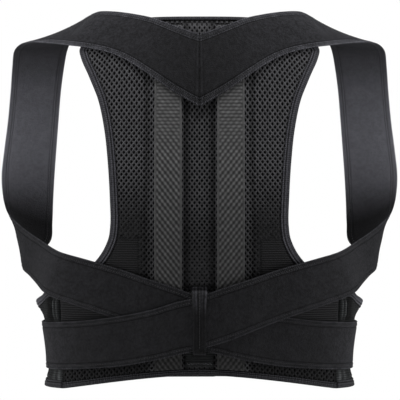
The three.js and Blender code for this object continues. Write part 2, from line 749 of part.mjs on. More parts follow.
function addPair(name, rightGeometry, leftGeometry, material) {
  addPiece(`${name}_right`, rightGeometry, material);
  addPiece(`${name}_left`, mirrored(leftGeometry), material);
}

addPiece("back_panel", backPanel(), meshCloth);
const cover = channelCover();
addPair("channel_cover", cover, cover, webbing);
addPiece("hem_tab", hemTab(), beltCloth);
addPiece("collar_binding", collarBinding(), tape);
addPiece("hem_binding", hemBinding(), tape);
const armhole = armholeBinding();
addPair("armhole_binding", armhole, armhole, tape);
addPair("belt_wing", beltWing(rightEnd, true), beltWing(leftEnd, false), beltCloth);
addPair("wing_binding", wingBinding(rightEnd, true), wingBinding(leftEnd, false), tape);
addPair("strap", shoulderStrap(true), shoulderStrap(false), elastic);
addPiece("keeper_loop", keeperLoop(), elastic);

const hookHeight = wingThickness + layerGap;
const strapHook = beltPatch(hookTurns, [bandTop + hookMargin, bandLow - hookMargin], hookHeight);
addPair("strap_hook_patch", strapHook, strapHook, hook);

const beltTop = wingTopAt(180)[0] * shoulderToHem;
const beltHookEnd = lengthAtTurn(leftEnd)[0] - beltHookMargin;
const beltHookTurns = [turnAtLength(beltHookEnd - beltHookLength)[0], turnAtLength(beltHookEnd)[0]];
const beltHookDrops = [beltTop + beltHookMargin, shoulderToHem - beltHookMargin];
addPiece("belt_hook_patch", mirrored(beltPatch(beltHookTurns, beltHookDrops, hookHeight)), hook);

export default corrector;
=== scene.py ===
import math

import bpy
import numpy as np
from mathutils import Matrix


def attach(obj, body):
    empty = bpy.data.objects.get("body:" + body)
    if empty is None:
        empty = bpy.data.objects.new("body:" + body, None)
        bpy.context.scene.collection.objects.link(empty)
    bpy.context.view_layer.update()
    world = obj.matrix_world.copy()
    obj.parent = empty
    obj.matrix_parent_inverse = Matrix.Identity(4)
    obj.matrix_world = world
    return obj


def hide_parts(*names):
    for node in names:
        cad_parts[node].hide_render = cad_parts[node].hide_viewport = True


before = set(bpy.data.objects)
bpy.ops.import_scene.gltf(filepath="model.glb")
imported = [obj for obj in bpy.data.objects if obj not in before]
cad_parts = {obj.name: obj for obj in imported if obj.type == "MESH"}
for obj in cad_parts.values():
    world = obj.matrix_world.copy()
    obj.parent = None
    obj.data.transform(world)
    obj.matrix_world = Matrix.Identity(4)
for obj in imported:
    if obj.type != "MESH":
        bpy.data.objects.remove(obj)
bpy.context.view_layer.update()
print("frame loaded")

millimetre = 0.001
degree = math.pi / 180
pleatPitch = 3.3

# camera and room

view = {"distance": 2400, "plane": -105, "height": -180, "lens": 216, "sensor": 36, "shift": 0.00125}


def addCamera():
    camera = bpy.data.objects.new("camera", bpy.data.cameras.new("camera"))
    bpy.context.scene.collection.objects.link(camera)
    camera.location = (0, (view["plane"] - view["distance"]) * millimetre, view["height"] * millimetre)
    camera.rotation_euler = (90 * degree, 0, 0)
    camera.data.sensor_width = view["sensor"]
    camera.data.lens = view["lens"]
    camera.data.shift_x = view["shift"]
    camera.data.clip_end = 60
    bpy.context.scene.camera = camera


addCamera()

# the shape of the body inside, repeated from the part

body = {
    "shoulderToHem": 372,
    "waistHalf": 156,
    "backDepth": 106,
    "frontDepth": 112,
    "armReach": 212,
    "roundness": 2.3,
}
shoulderToHem = body["shoulderToHem"]

bodyRows = (
    ("drop", "half", "back"),
    (-0.035, 0.78, 0.62),
    (0, 0.93, 0.7),
    (0.054, 1.05, 0.79),
    (0.16, 1.15, 0.915),
    (0.323, 1.155, 1),
    (0.484, 1.1, 1.01),
    (0.645, 1.06, 0.935),
    (0.806, 1.02, 0.84),
    (0.927, 0.985, 0.81),
    (1, 0.995, 0.82),
)


def curveThrough(rows, scale=None):
    # a smooth curve by the table's first column; scale turns a column's shares into sizes
    names = rows[0]
    table = np.array(rows[1:], float)
    for name, size in (scale or {}).items():
        table[:, names.index(name)] *= size
    places, values = table[:, 0], table[:, 1:]
    last = len(places) - 1

    def at(place):
        place = np.clip(np.asarray(place, float), places[0], places[-1])
        after = np.clip(np.searchsorted(places, place, side="right"), 1, last)
        before = after - 1
        start, end = places[before], places[after]
        isFirst, isLast = before == 0, after == last
        previous = np.where(isFirst, after, before - 1)
        following = np.where(isLast, before, np.minimum(after + 1, last))
        half = (end - start) / 2
        pullBack = half / (start - places[previous])
        pullOn = half / (places[following] - end)
        t = (place - start) / (end - start)
        square, cube = t * t, t * t * t
        weights = (
            (-pullBack * cube + 2 * pullBack * square - pullBack * t, previous),
            ((1 + pullBack) * cube - (1.5 + 2 * pullBack) * square + (pullBack - 0.5) * t + 1, before),
            ((-1 - pullOn) * cube + (1.5 + pullOn) * square + 0.5 * t, after),
            (pullOn * cube - pullOn * square, following),
        )
        total = sum(weight[..., None] * values[index] for weight, index in weights)
        return np.moveaxis(total, -1, 0)

    return at


bodyAt = curveThrough(
    bodyRows, {"drop": shoulderToHem, "half": body["waistHalf"], "back": body["backDepth"]}
)


def smoothstep(x, low, high):
    t = np.clip((np.asarray(x, float) - low) / (high - low), 0, 1)
    return t * t * (3 - 2 * t)


def lerp(a, b, t):
    return a + (b - a) * t


def bump(x, centre, width):
    return np.exp(-(((np.asarray(x, float) - centre) / width) ** 2))


def pleatWave(place):
    # the upright pleats of cloth that is drawn in, from -1 to 1
    return np.sin(2 * math.pi * place / pleatPitch)


def unit(vectors):
    return vectors / np.maximum(np.linalg.norm(vectors, axis=-1, keepdims=True), 1e-9)


def bodyPoint(angle, drop, off):
    # a point at an angle from the spine and a drop, some way off the body
    half, back = bodyAt(drop)
    power = body["roundness"]
    across, rearward = np.sin(angle), np.cos(angle)
    depth = np.where(rearward > 0, back, body["frontDepth"])
    radius = (np.abs(across / half) ** power + np.abs(rearward / depth) ** power) ** (-1 / power)
    x, y = radius * across, -radius * rearward
    nx = np.sign(x) * np.abs(x / half) ** (power - 1) / half
    ny = np.sign(y) * np.abs(y / depth) ** (power - 1) / depth
    size = np.hypot(nx, ny)
    return np.stack([x + off * nx / size, y + off * ny / size, -drop + 0 * x], axis=-1)


def angleAcross(across, drop):
    half, back = bodyAt(drop)
    power = body["roundness"]
    share = np.minimum(np.abs(across / half), 1)
    return np.arctan2(across, back * (1 - share**power) ** (1 / power))


def panelPlace(across, drop, off):
    across, drop, off = np.broadcast_arrays(across, drop, off)
    return bodyPoint(angleAcross(across, drop), drop, off)


waistTurns = np.arange(0, 221, 2.0)
waistSteps = bodyPoint(waistTurns * degree, np.full_like(waistTurns, 0.9 * shoulderToHem), 0)
waistLengths = np.concatenate([[0], np.cumsum(np.linalg.norm(np.diff(waistSteps, axis=0), axis=1))])


def turnAtLength(length):
    return np.interp(length, waistLengths, waistTurns)


def lengthAtTurn(turn):
    return np.interp(turn, waistTurns, waistLengths)


# meshes


def newPiece(name, vertices, faces, cloth, tone, material):
    # cloth holds each vertex's place on the cloth, tone how light it is drawn: partly its own colour, partly
    # painted light and shade
    mesh = bpy.data.meshes.new(name)
    vertices = np.asarray(vertices, float).reshape(-1, 3) * millimetre
    faces = np.asarray(faces, int)
    mesh.from_pydata(vertices.tolist(), [], faces.tolist())
    mesh.attributes.new("cloth", "FLOAT_VECTOR", "POINT").data.foreach_set(
        "vector", np.asarray(cloth, np.float32).reshape(-1)
    )
    mesh.attributes.new("tone", "FLOAT", "POINT").data.foreach_set(
        "value", np.asarray(tone, np.float32).reshape(-1)
    )
    mesh.polygons.foreach_set("use_smooth", [True] * len(mesh.polygons))
    mesh.update()
    mesh.materials.append(material)
    piece = bpy.data.objects.new(name, mesh)
    bpy.context.scene.collection.objects.link(piece)
    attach(piece, "root")
    return piece


def tubeFaces(stations, around):
    # faces of a skin through closed loops, with its two ends closed by strips
    i, j = np.meshgrid(np.arange(stations - 1), np.arange(around), indexing="ij")
    k = (j + 1) % around
    sides = np.stack([i * around + j, (i + 1) * around + j, (i + 1) * around + k, i * around + k], -1)
    near = np.arange(around // 2 - 1)
    far = around - 1 - near
    cap = np.stack([near, near + 1, far - 1, far], -1)
    ends = [cap, cap[:, ::-1] + (stations - 1) * around]
    return np.concatenate([sides.reshape(-1, 4)] + ends)


def outwards(vertices, faces):
    # turns all faces over where the skin is inside out
    a, b, c = (vertices[faces[:, k]] for k in (0, 1, 2))
    volume = np.einsum("ij,ij->i", a, np.cross(b, c)).sum()
    if faces.shape[1] == 4:
        d = vertices[faces[:, 3]]
        volume += np.einsum("ij,ij->i", a, np.cross(c, d)).sum()
    return faces if volume > 0 else faces[:, ::-1]


def ringFaces(rings, around):
    # faces between rings of points that follow each other
    turn = np.arange(around)
    following = (turn + 1) % around
    sides = np.stack([turn, following, following + around, turn + around], -1)
    return np.concatenate([sides + ring * around for ring in range(rings - 1)])


def facesOfEach(faces, points, count):
    # the same faces for each block of points
    return (faces[None] + points * np.arange(count)[:, None, None]).reshape(-1, 4)


def sideSign(mirror):
    return np.array([-1 if mirror else 1, 1, 1])


def bothFaces(outer, inner):
    # across the outer face and back across the inner one
    return np.concatenate([outer, inner[:, ::-1]], axis=1)


def clothFaces(across, along, mark=0, innerMark=0):
    # both faces' places on the cloth, with a third number that tells parts of it apart
    outer = np.stack(np.broadcast_arrays(across, along, mark), -1)
    return bothFaces(outer, outer + np.array([0, 0, innerMark]))


def cornerPlaces(end, radius, count):
    # places along a piece, closer together towards its rounded end
    return end - radius * (1 - np.sin(np.linspace(0, 90, count) * degree))


def cornerInset(toEnd, radius):
    # how far the edge is drawn in by the rounded corner
    left = np.clip(toEnd, 0, radius)
    return radius - np.sqrt(radius**2 - (radius - left) ** 2)


def skin(name, loops, cloth, tone, material, mirror=False):
    # a closed piece from loops of points, stations by points around
    stations, around = loops.shape[:2]
    vertices = loops.reshape(-1, 3) * sideSign(mirror)
    faces = outwards(vertices, tubeFaces(stations, around))
    return newPiece(name, vertices, faces, cloth, tone, material)


# stitches

thread = {"length": 1.7, "pitch": 2.4, "radius": 0.24, "sink": 0.08, "tone": 1.2}
seamThread = {"length": 1.8, "pitch": 2.8, "radius": 0.34, "sink": 0.04, "tone": 0.8}
zigzag = {"length": 2.1, "pitch": 2.3, "radius": 0.34, "sink": 0.02, "tone": 2.1}


def stitchRun(points, normals, style):
    # short rounded stitches along a line on the cloth
    steps = np.linalg.norm(np.diff(points, axis=0), axis=1)
    along = np.concatenate([[0], np.cumsum(steps)])
    count = max(int(along[-1] / style["pitch"]), 1)
    middles = (np.arange(count) + 0.5) * along[-1] / count
    halfLength = style["length"] / 2
    at = lambda s: np.stack([np.interp(s, along, points[:, k]) for k in range(3)], -1)
    up = unit(np.stack([np.interp(middles, along, normals[:, k]) for k in range(3)], -1))
    start, end = at(middles - halfLength), at(middles + halfLength)
    run = unit(end - start)
    side = unit(np.cross(run, up))
    lift = style["radius"] - style["sink"]
    rings = []
    for share, width in ((-1, 0.15), (-0.62, 0.95), (0.62, 0.95), (1, 0.15)):
        centre = lerp(start, end, (share + 1) / 2) + up * lift * (1 if abs(share) < 1 else -0.2)
        for across, rise in ((1, 0), (0, 1), (-1, 0), (0, -1)):
            radius = style["radius"] * width
            rings.append(centre + side * across * radius + up * rise * radius)
    return np.stack(rings, axis=1)


def stitchPiece(name, runs, material, style=thread):
    blocks = np.concatenate([stitchRun(points, normals, style) for points, normals in runs])
    count, points = blocks.shape[:2]
    ends = [[0, 3, 2, 1], [12, 13, 14, 15]]
    vertices = blocks.reshape(-1, 3)
    faces = outwards(vertices, facesOfEach(np.concatenate([ringFaces(4, 4), ends]), points, count))
    cloth = np.zeros_like(vertices)
    cloth[:, 1] = np.repeat(np.arange(count), points) * style["pitch"]
    return newPiece(name, vertices, faces, cloth, np.full(len(vertices), style["tone"]), material)


# shader writing


class Flow:
    # a number that runs through a material; arithmetic on it adds Math nodes
    def __init__(self, paint, socket):
        self.paint = paint
        self.socket = socket

    def sum(self, operation, first, second):
        return self.paint.add("ShaderNodeMath", {"operation": operation}, {0: first, 1: second})

    def __add__(self, other):
        return self.sum("ADD", self, other)

    def __radd__(self, other):
        return self.sum("ADD", other, self)

    def __sub__(self, other):
        return self.sum("SUBTRACT", self, other)

    def __rsub__(self, other):
        return self.sum("SUBTRACT", other, self)

    def __mul__(self, other):
        return self.sum("MULTIPLY", self, other)

    def __rmul__(self, other):
        return self.sum("MULTIPLY", other, self)

    def wave(self, length):
        # goes from -1 to 1 once in each length
        return self.sum("SINE", self * (2 * math.pi / length), 0)


class Paint:
    # one material and the nodes in it
    def __init__(self, name):
        self.material = bpy.data.materials.new(name)
        self.material.use_nodes = True
        self.tree = self.material.node_tree
        self.surface = self.tree.nodes["Principled BSDF"]

    def add(self, kind, settings, inputs, output=0):
        node = self.tree.nodes.new(kind)
        for name, value in settings.items():
            setattr(node, name, value)
        for name, value in inputs.items():
            self.feed(node.inputs[name], value)
        return Flow(self, node.outputs[output])

    def feed(self, socket, value):
        if isinstance(value, Flow):
            self.tree.links.new(value.socket, socket)
        else:
            socket.default_value = value

    def place(self):
        return self.add("ShaderNodeAttribute", {"attribute_name": "cloth"}, {}, "Vector")

    def tone(self):
        return self.add("ShaderNodeAttribute", {"attribute_name": "tone"}, {}, "Fac")

    def part(self, vector, axis):
        return self.add("ShaderNodeSeparateXYZ", {}, {0: vector}, axis)

    def noise(self, vector, size, detail=2.0):
        inputs = {"Vector": vector, "Scale": 1 / size, "Detail": detail}
        return self.add("ShaderNodeTexNoise", {}, inputs, "Fac")

    def blotch(self, vector, size):
        # soft patches from 0 to 1
        return self.between(self.noise(vector, size), 0.3, 0.7)

    def between(self, value, low, high):
        # 0 below low and 1 above high, smooth between them
        settings = {"interpolation_type": "SMOOTHSTEP"}
        return self.add("ShaderNodeMapRange", settings, {"Value": value, "From Min": low, "From Max": high})

    def shade(self, colour, amount):
        # a colour made lighter or darker by an amount round 1
        grey = self.add("ShaderNodeCombineXYZ", {}, {0: amount, 1: amount, 2: amount})
        return self.add("ShaderNodeVectorMath", {"operation": "MULTIPLY"}, {0: colour, 1: grey})

    def relief(self, height, depth):
        # depth is in millimetres
        inputs = {"Height": height, "Distance": depth * millimetre, "Strength": 1.0}
        normal = self.add("ShaderNodeBump", {}, inputs)
        self.feed(self.surface.inputs["Normal"], normal)

    def finish(self, **values):
        for name, value in values.items():
            self.feed(self.surface.inputs[name.replace("_", " ")], value)
        return self.material

    def cloth(self, colour, amount, roughness, sheen, gloss, tint=(0.4, 0.4, 0.42, 1)):
        # a matt cloth with a thin sheen of fibres
        return self.finish(
            Base_Color=self.shade(colour, amount),
            Roughness=roughness,
            Sheen_Weight=sheen,
            Sheen_Roughness=0.4,
            Sheen_Tint=tint,
            Specular_IOR_Level=gloss,
        )


# the open mesh's cells, which the inner face of the ground repeats
lattice = {
    "pitch": 5,
    "rows": 3.15,
    "holeWidth": 1.28,
    "holeHeight": 1.7,
    "lean": 0.1,
    "depth": 1.3,
    "crown": 0.3,
    "margin": 4.2,
    "seamMargin": 1.2,
    "closeAcross": (52, 62),
    "closeDown": (170, 224),
    "openAgain": (316, 328),
}

# colours are linear
dye = {
    "elastic": (0.0134, 0.0134, 0.0153),
    "mesh": (0.0585, 0.0585, 0.0620),
    "ground": (0.0115, 0.0115, 0.0122),
    "webbing": (0.080, 0.080, 0.081),
    "tape": (0.0225, 0.0225, 0.0258),
    "belt": (0.0230, 0.0243, 0.0250),
    "thread": (0.042, 0.042, 0.046),
    "hook": (0.010, 0.010, 0.011),
}


def elasticMaterial():
    # plush elastic: a soft nap, lightly blotched where the pile lies over. The place's
    # third number is 1 on the woven bands along its edges, and 2 more on the inner face
    paint = Paint("elastic")
    place = paint.place()
    nap = paint.blotch(place, 0.9)
    pile = paint.blotch(place, 3)
    cloud = paint.blotch(place, 9)
    twill = (paint.part(place, "Y") + 1.4 * paint.part(place, "X")).wave(2.6)
    inside = paint.between(paint.part(place, "Z"), 1.4, 1.6)
    band = paint.part(place, "Z") - 2 * inside
    rough = 1 - 0.75 * inside
    blotches = 0.44 * nap + 0.62 * pile + 0.4 * cloud - 0.73
    amount = paint.tone() * (1 + rough * blotches) * (1 + 0.5 * band * twill)
    paint.relief(nap + 0.7 * pile + 0.8 * band * twill, 0.3)
    return paint.cloth(dye["elastic"], amount, 0.9, sheen=0.08, gloss=0.2, tint=(0.3, 0.3, 0.36, 1))


def knitMaterial(name, colour, length, depth, ribShading=0.0, sheen=0.12, gloss=0.35):
    # yarn with fibres, for the belt's cloth, the webbing and the mesh; its rib term paints
    # shade into the valleys between its ribs and light on their crests
    paint = Paint(name)
    place = paint.place()
    fibre = paint.noise(place, 0.4, 3.0)
    cloud = paint.blotch(place, 5)
    rib = paint.part(place, "Y").wave(length)
    amount = paint.tone() * (0.55 + 0.55 * fibre + 0.35 * cloud + ribShading * rib)
    paint.relief(fibre + 0.5 * rib, depth)
    return paint.cloth(colour, amount, 0.85, sheen, gloss)


def groundMaterial():
    # the cloth under the open mesh: fine ribs, and on its inner face small round holes
    paint = Paint("meshGround")
    place = paint.place()
    fibre = paint.blotch(place, 0.9)
    rib = paint.part(place, "Y").wave(2.3)
    across = paint.part(place, "X").wave(lattice["pitch"])
    down = paint.part(place, "Y").wave(2 * lattice["rows"])
    hole = paint.between(across * down, 0.28, 0.5) * paint.part(place, "Z")
    amount = paint.tone() * (0.6 + 0.5 * fibre + 0.5 * rib) * (1 - 0.8 * hole)
    paint.relief(fibre + 0.8 * rib - 2.2 * hole, 0.3)
    return paint.cloth(dye["ground"], amount, 0.88, sheen=0.03, gloss=0.12)


def tapeMaterial():
    # grosgrain tape: fine ribs across its length
    paint = Paint("tape")
    place = paint.place()
    fibre = paint.blotch(place, 0.8)
    cloud = paint.blotch(place, 4)
    rib = paint.part(place, "Y").wave(2.1)
    amount = paint.tone() * (0.65 + 0.35 * fibre + 0.3 * cloud + 0.2 * rib)
    paint.relief(rib * 0.6 + fibre * 0.6, 0.25)
    return paint.cloth(dye["tape"], amount, 0.8, sheen=0.04, gloss=0.15)


def threadMaterial():
    paint = Paint("thread")
    twist = paint.part(paint.place(), "Y").wave(0.7)
    amount = paint.tone() * (0.9 + 0.15 * twist)
    return paint.finish(Base_Color=paint.shade(dye["thread"], amount), Roughness=0.6, Specular_IOR_Level=0.4)


def hookMaterial():
    # short hooks in rows
    paint = Paint("hooks")
    place = paint.place()
    rows = paint.part(place, "X").wave(1.6) * paint.part(place, "Y").wave(1.6)
    paint.relief(rows, 0.5)
    amount = 0.8 + 0.5 * rows
    return paint.finish(Base_Color=paint.shade(dye["hook"], amount), Roughness=0.5)


elastic = elasticMaterial()
meshYarn = knitMaterial("mesh", dye["mesh"], 0.8, 0.12, sheen=0.05, gloss=0.15)
ground = groundMaterial()
webbing = knitMaterial("webbing", dye["webbing"], 0.7, 0.12)
beltCloth = knitMaterial("beltCloth", dye["belt"], 2.3, 0.32, 0.3, sheen=0.02, gloss=0.1)
tape = tapeMaterial()
threads = threadMaterial()
hooks = hookMaterial()
print("materials made")

# back panel

panel = {
    "seamHalf": 141,
    "seamDrop": 267,
    "hemHalf": 138,
    "cornerDrop": 8,
    "collarRise": 13.2,
    "hemRise": 16.4,
    "thickness": 3,
    "boundThickness": 2,
    "channelStart": 15.5,
    "channelEnd": 54,
    "ribHeight": 1.5,
    "grooveDepth": 1.3,
    "pressed": 8,
    "columnStep": 2.2,
    "levelStep": 3,
}

armholeRows = (
    ("drop", "half"),
    (0.03, 0.74),
    (0.1, 0.85),
    (0.13, 0.843),
    (0.206, 0.782),
    (0.294, 0.716),
    (0.401, 0.671),
    (0.521, 0.645),
    (0.674, 0.628),
    (0.77, 0.626),
    (0.828, 0.645),
    (0.903, 0.728),
    (0.959, 0.85),
    (1, 1),
)
armholeAt = curveThrough(armholeRows, {"drop": panel["seamDrop"], "half": panel["seamHalf"]})
cornerHalf = float(armholeAt(0.03 * panel["seamDrop"])[0])


def topDrop(across):
    return panel["cornerDrop"] - panel["collarRise"] * (1 - np.minimum(np.abs(across) / cornerHalf, 1) ** 4)


def hemDrop(across):
    return shoulderToHem - panel["hemRise"] * (1 - np.minimum(np.abs(across) / panel["hemHalf"], 1) ** 1.6)


def panelHalf(level):
    seamed = (level - panel["seamDrop"]) / (shoulderToHem - panel["seamDrop"])
    below = lerp(panel["seamHalf"], panel["hemHalf"], seamed)
    return np.where(level < panel["seamDrop"], armholeAt(level)[0], below)


def belowArmhole(level):
    # 0 beside the armholes, 1 along the side seams
    return smoothstep(level, panel["seamDrop"] - 6, panel["seamDrop"] + 2)


def fromSide(across, level):
    # how far a place on the panel is from its side edge
    slope = np.hypot(1, (panelHalf(level + 1) - panelHalf(level - 1)) / 2)
    return (panelHalf(level) - np.abs(across)) / slope


def levelDrop(level, across):
    nearTop = 1 - smoothstep(level, panel["cornerDrop"], 0.3 * shoulderToHem)
    nearHem = smoothstep(level, panel["seamDrop"], shoulderToHem)
    collar = (topDrop(across) - panel["cornerDrop"]) * nearTop
    return level + collar + (hemDrop(across) - shoulderToHem) * nearHem


def panelSwell(across, level):
    # 0 where the cloth is pressed in a binding or seam, 1 where it is free
    fromEdge = fromSide(across, level) + panel["pressed"] * belowArmhole(level)
    fromEnds = np.minimum(level - panel["cornerDrop"], shoulderToHem - level + 2)
    return smoothstep(np.minimum(fromEdge, fromEnds), panel["pressed"] - 1, panel["pressed"] + 2)


def panelRelief(across):
    # the channels and the stitched grooves beside them
    place = np.abs(across)
    start, end = panel["channelStart"], panel["channelEnd"]
    channel = smoothstep(place, start, start + 2.5) * (1 - smoothstep(place, end - 3, end))
    grooves = bump(place, start - 0.3, 1.1) + 0.7 * bump(place, start - 3.8, 1) + bump(place, end - 0.8, 1.3)
    return panel["ribHeight"] * channel - panel["grooveDepth"] * np.minimum(grooves, 1)


def gathers(across, level):
    # fine upright pleats where the hem is drawn in
    strength = smoothstep(level, 335, 352) * smoothstep(np.abs(across), 58, 74)
    return 0.45 * strength * pleatWave(np.abs(across))


def panelHeight(across, level):
    free = panel["thickness"] + panelRelief(across) + gathers(across, level)
    return lerp(panel["boundThickness"], free, panelSwell(across, level))


def meshClosed(across, level):
    # 1 where the mesh closes into fine level ribs, low on the panel's sides
    low = smoothstep(level, *lattice["closeDown"]) * (1 - smoothstep(level, *lattice["openAgain"]))
    return smoothstep(np.abs(across), *lattice["closeAcross"]) * low


def backPanel():
    # the solid cloth under the open mesh
    levels = np.arange(panel["cornerDrop"], shoulderToHem + 0.1, panel["levelStep"])
    levels[-1] = shoulderToHem
    shares = np.linspace(-1, 1, int(2 * panel["seamHalf"] / panel["columnStep"]) | 1)
    level = levels[:, None] + 0 * shares[None]
    across = shares[None] * panelHalf(levels)[:, None]
    drop = levelDrop(level, across)
    closed = smoothstep(meshClosed(across, level), 0.8, 1)
    below = lattice["depth"] * panelSwell(across, level) * (1 - closed)
    outer = panelPlace(across, drop, panelHeight(across, level) - below)
    loops = bothFaces(outer, panelPlace(across, drop, 0))
    # the ground's own lighter colour where the mesh closes, times the mesh's painted shade
    outerTone = (0.8 + 1.8 * closed) * (0.5 + 0.5 * meshPaintedShade(across, drop))
    tone = bothFaces(outerTone, 2.1 + 0 * across)
    piece = skin("backPanel", loops, clothFaces(across, drop, innerMark=1), tone, ground)
    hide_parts("back_panel")
    openMesh()


def meshPaintedShade(across, drop):
    # painted shade on the open mesh: darker in the stitched grooves and down the middle strip,
    # darker lower down and most towards its sides, darker along the seam across the middle
    # strip (its dark line and a painted shadow), with painted light and shade on the hem's pleats
    place = np.abs(across)
    groove = bump(place, 13.5, 3.2) + 1.2 * bump(place, 51.5, 2)
    strip = 1 - smoothstep(place, 12, 18)
    middle = 1 - 0.12 * strip - 0.22 * strip * smoothstep(drop, 180, 240)
    seam = bump(drop, 267, 1.6) * strip
    aside = smoothstep(place, 50, 58)
    inner = (1 - aside) * smoothstep(drop, 170, 230)
    lowerShade = 1 - 0.8 * aside * smoothstep(drop, 140, 212) - 0.42 * inner
    hem = smoothstep(drop, 330, 345) * smoothstep(place, 50, 60)
    pleats = 1 + hem * (0.4 * pleatWave(place) - 0.15)
    return 1.2 * middle * lowerShade * pleats * (1 - 0.55 * np.minimum(groove, 1)) * (1 - 0.8 * seam)


def openMesh():
    # knitted mesh: each cell is a rhombus of yarn round an oval hole
    halfWide, halfTall = lattice["pitch"] / 2, lattice["rows"]
    rows = int(shoulderToHem / lattice["rows"])
    columns = int(panel["seamHalf"] / halfWide) + 1
    row, column = np.meshgrid(np.arange(2, rows), np.arange(-columns, columns + 1), indexing="ij")
    keep = (row + column) % 2 == 0
    cellX, cellY = column[keep] * halfWide, row[keep] * lattice["rows"]
    fromMiddle = np.abs(np.abs(cellX) - webStrip["start"] - webStrip["width"] / 2)
    covered = (fromMiddle < webStrip["width"] / 2 - 3) & (cellY > webStrip["top"] + 4)
    margin = lerp(lattice["margin"], lattice["seamMargin"], belowArmhole(cellY))
    inside = fromSide(cellX, cellY) > margin
    inside &= (cellY > panel["cornerDrop"] + 1.5) & (cellY < shoulderToHem - 4) & ~covered
    inside &= meshClosed(cellX, cellY) < 0.98 - 0.02 * (column[keep] % 3)
    cellX, cellY = cellX[inside], cellY[inside]
    low = (1 - smoothstep(np.abs(cellX), 12, 16)) * smoothstep(cellY, 200, 250)
    atHem = smoothstep(cellY, 326, 338) * smoothstep(np.abs(cellX), 50, 60)
    size = 1 - 0.75 * meshClosed(cellX, cellY) - 0.3 * low - 0.22 * (1 - smoothstep(cellY, 16, 36))
    slim, tall = 1 - 0.45 * atHem, 1 - 0.12 * atHem
    lean = lattice["lean"] * np.sign(cellX) * smoothstep(np.abs(cellX), 14, 24) * (1 - atHem)
    around = 8
    corner = np.arange(around) * math.pi / 4
    narrow = np.where(np.arange(around) % 2, 0.86, 1)
    rim = np.maximum(np.abs(np.cos(corner)) + np.abs(np.sin(corner)), 1)
    rhombusX, rhombusY = np.cos(corner) / rim, np.sin(corner) / rim
    # the rings of a cell, from its edge down its hole: how wide, how deep and how light, with painted shade
    # darker down the hole
    cellRings = {
        "edge": (0, 0, 1),
        "lip": (1.12, 0.12, 0.95),
        "wall": (0.98, 0.75, 0.35),
        "floor": (0.85, lattice["depth"] + 0.1, 0.12),
    }
    rings = []
    for kind, (wide, sink, _) in cellRings.items():
        if kind == "edge":
            x = cellX[:, None] + halfWide * rhombusX
            y = cellY[:, None] + halfTall * rhombusY
        else:
            holeWide = lattice["holeWidth"] * wide * (size * slim)[:, None] * narrow
            holeTall = lattice["holeHeight"] * wide * (size * tall)[:, None] * narrow
            x = cellX[:, None] + holeWide * np.cos(corner)
            y = cellY[:, None] + holeTall * np.sin(corner)
            x = x + (lean * size)[:, None] * (y - cellY[:, None])
        half = panelHalf(y) - 0.8
        x = np.clip(x, -half, half)
        y = np.maximum(y, panel["cornerDrop"] + 0.5)
        drop = levelDrop(y, x)
        strength = panelSwell(x, y)
        height = panelHeight(x, y) + lattice["crown"] * (0.4 if kind == "lip" else 1) * strength
        rings.append((x, drop, panelPlace(x, drop, height - sink * np.maximum(strength, 0.3))))
    across, drop, vertices = (np.concatenate(parts, axis=1) for parts in zip(*rings))
    faces = facesOfEach(ringFaces(len(rings), around), len(rings) * around, len(cellX))
    # painted shade: the rings grow darker down each hole
    light = np.repeat([ring[2] for ring in cellRings.values()], around)[None]
    tone = meshPaintedShade(across, drop) * light
    cloth = np.stack([across, drop, 0 * drop], -1)
    flat = vertices.reshape(-1, 3)
    normal = np.cross(flat[faces[0, 1]] - flat[faces[0, 0]], flat[faces[0, 2]] - flat[faces[0, 0]])
    if normal[1] > 0:
        faces = faces[:, ::-1]
    return newPiece("openMesh", flat, faces, cloth, tone, meshYarn)


# webbing strips over the channels

webStrip = {
    "start": 17.5,
    "width": 27,
    "top": 30,
    "thickness": 1.2,
    "gap": 0.6,
    "hemGap": 6,
    "step": 0.7,
    "pitch": 5.4,
    "rows": 7.1,
}
channelTop = panel["thickness"] + panel["ribHeight"]


def webKnots(across, along):
    # raised knots in staggered rows, with a small gap between them
    phase = 2 * math.pi * across / webStrip["pitch"]
    rows = 2 * math.pi * along / webStrip["rows"]
    knots = 0.66 * np.cos(phase + rows) + 0.34 * np.cos(phase - rows)
    lines = np.cos(2 * rows)
    level = 1 - smoothstep(along, 90, 150)
    return lerp(knots, 0.28 * knots + 0.42 * lines, level)


def channelCover(side):
    low = channelTop + webStrip["gap"]
    columns = int(webStrip["width"] / webStrip["step"])
    wide = np.linspace(0, webStrip["width"], columns)
    length = shoulderToHem - webStrip["top"] - webStrip["hemGap"] - panel["hemRise"]
    shares = np.linspace(0, 1, int(length / webStrip["step"]))
    across = webStrip["start"] + wide[None] + 0 * shares[:, None]
    drop = lerp(webStrip["top"], hemDrop(across) - webStrip["hemGap"], shares[:, None])
    fromEdge = np.minimum(wide, webStrip["width"] - wide)[None]
    woven = smoothstep(fromEdge, 1.6, 2.8)
    knots = webKnots(across - webStrip["start"], drop) * woven
    selvage = bump(fromEdge, 0.9, 0.8)
    height = low + webStrip["thickness"] + 0.34 * knots + 0.25 * selvage - 0.35 * bump(fromEdge, 2.1, 0.5)
    height = np.where(fromEdge < 0.1, low + 0.6, height)
    loops = bothFaces(panelPlace(across, drop, height), panelPlace(across, drop, low))
    # painted light on the raised knots, and painted shade growing lower down the strip, most at its foot
    lit = 0.62 + 0.95 * np.clip(knots + 0.1, -0.4, 1) + 0.1 * selvage
    paintedFalloff = 1.25 - 0.62 * smoothstep(drop, 90, 300) - 0.3 * smoothstep(drop, 314, 330)
    tone = bothFaces(lit * paintedFalloff, 0.5 + 0 * lit)
    cloth = clothFaces(across, drop)
    piece = skin(f"channelCover{side.title()}", loops, cloth, tone, webbing, mirror=side == "left")
    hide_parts(f"channel_cover_{side}")
    return piece


# bindings

binding = {
    "width": 7.2,
    "thickness": 0.9,
    "cloth": 2,
    "gap": 0.4,
    "step": 1.6,
    "wingStep": 3,
    "fold": 1.1,
    "wrap": 6,
    "stitchInset": 0.4,  # as a share of the tape's width
    "collarHalf": 79,
    "collarWidth": 2.4,
    "hemWidth": 5,
    "armholeStart": 22,
    "pastSeam": 1.8,
}


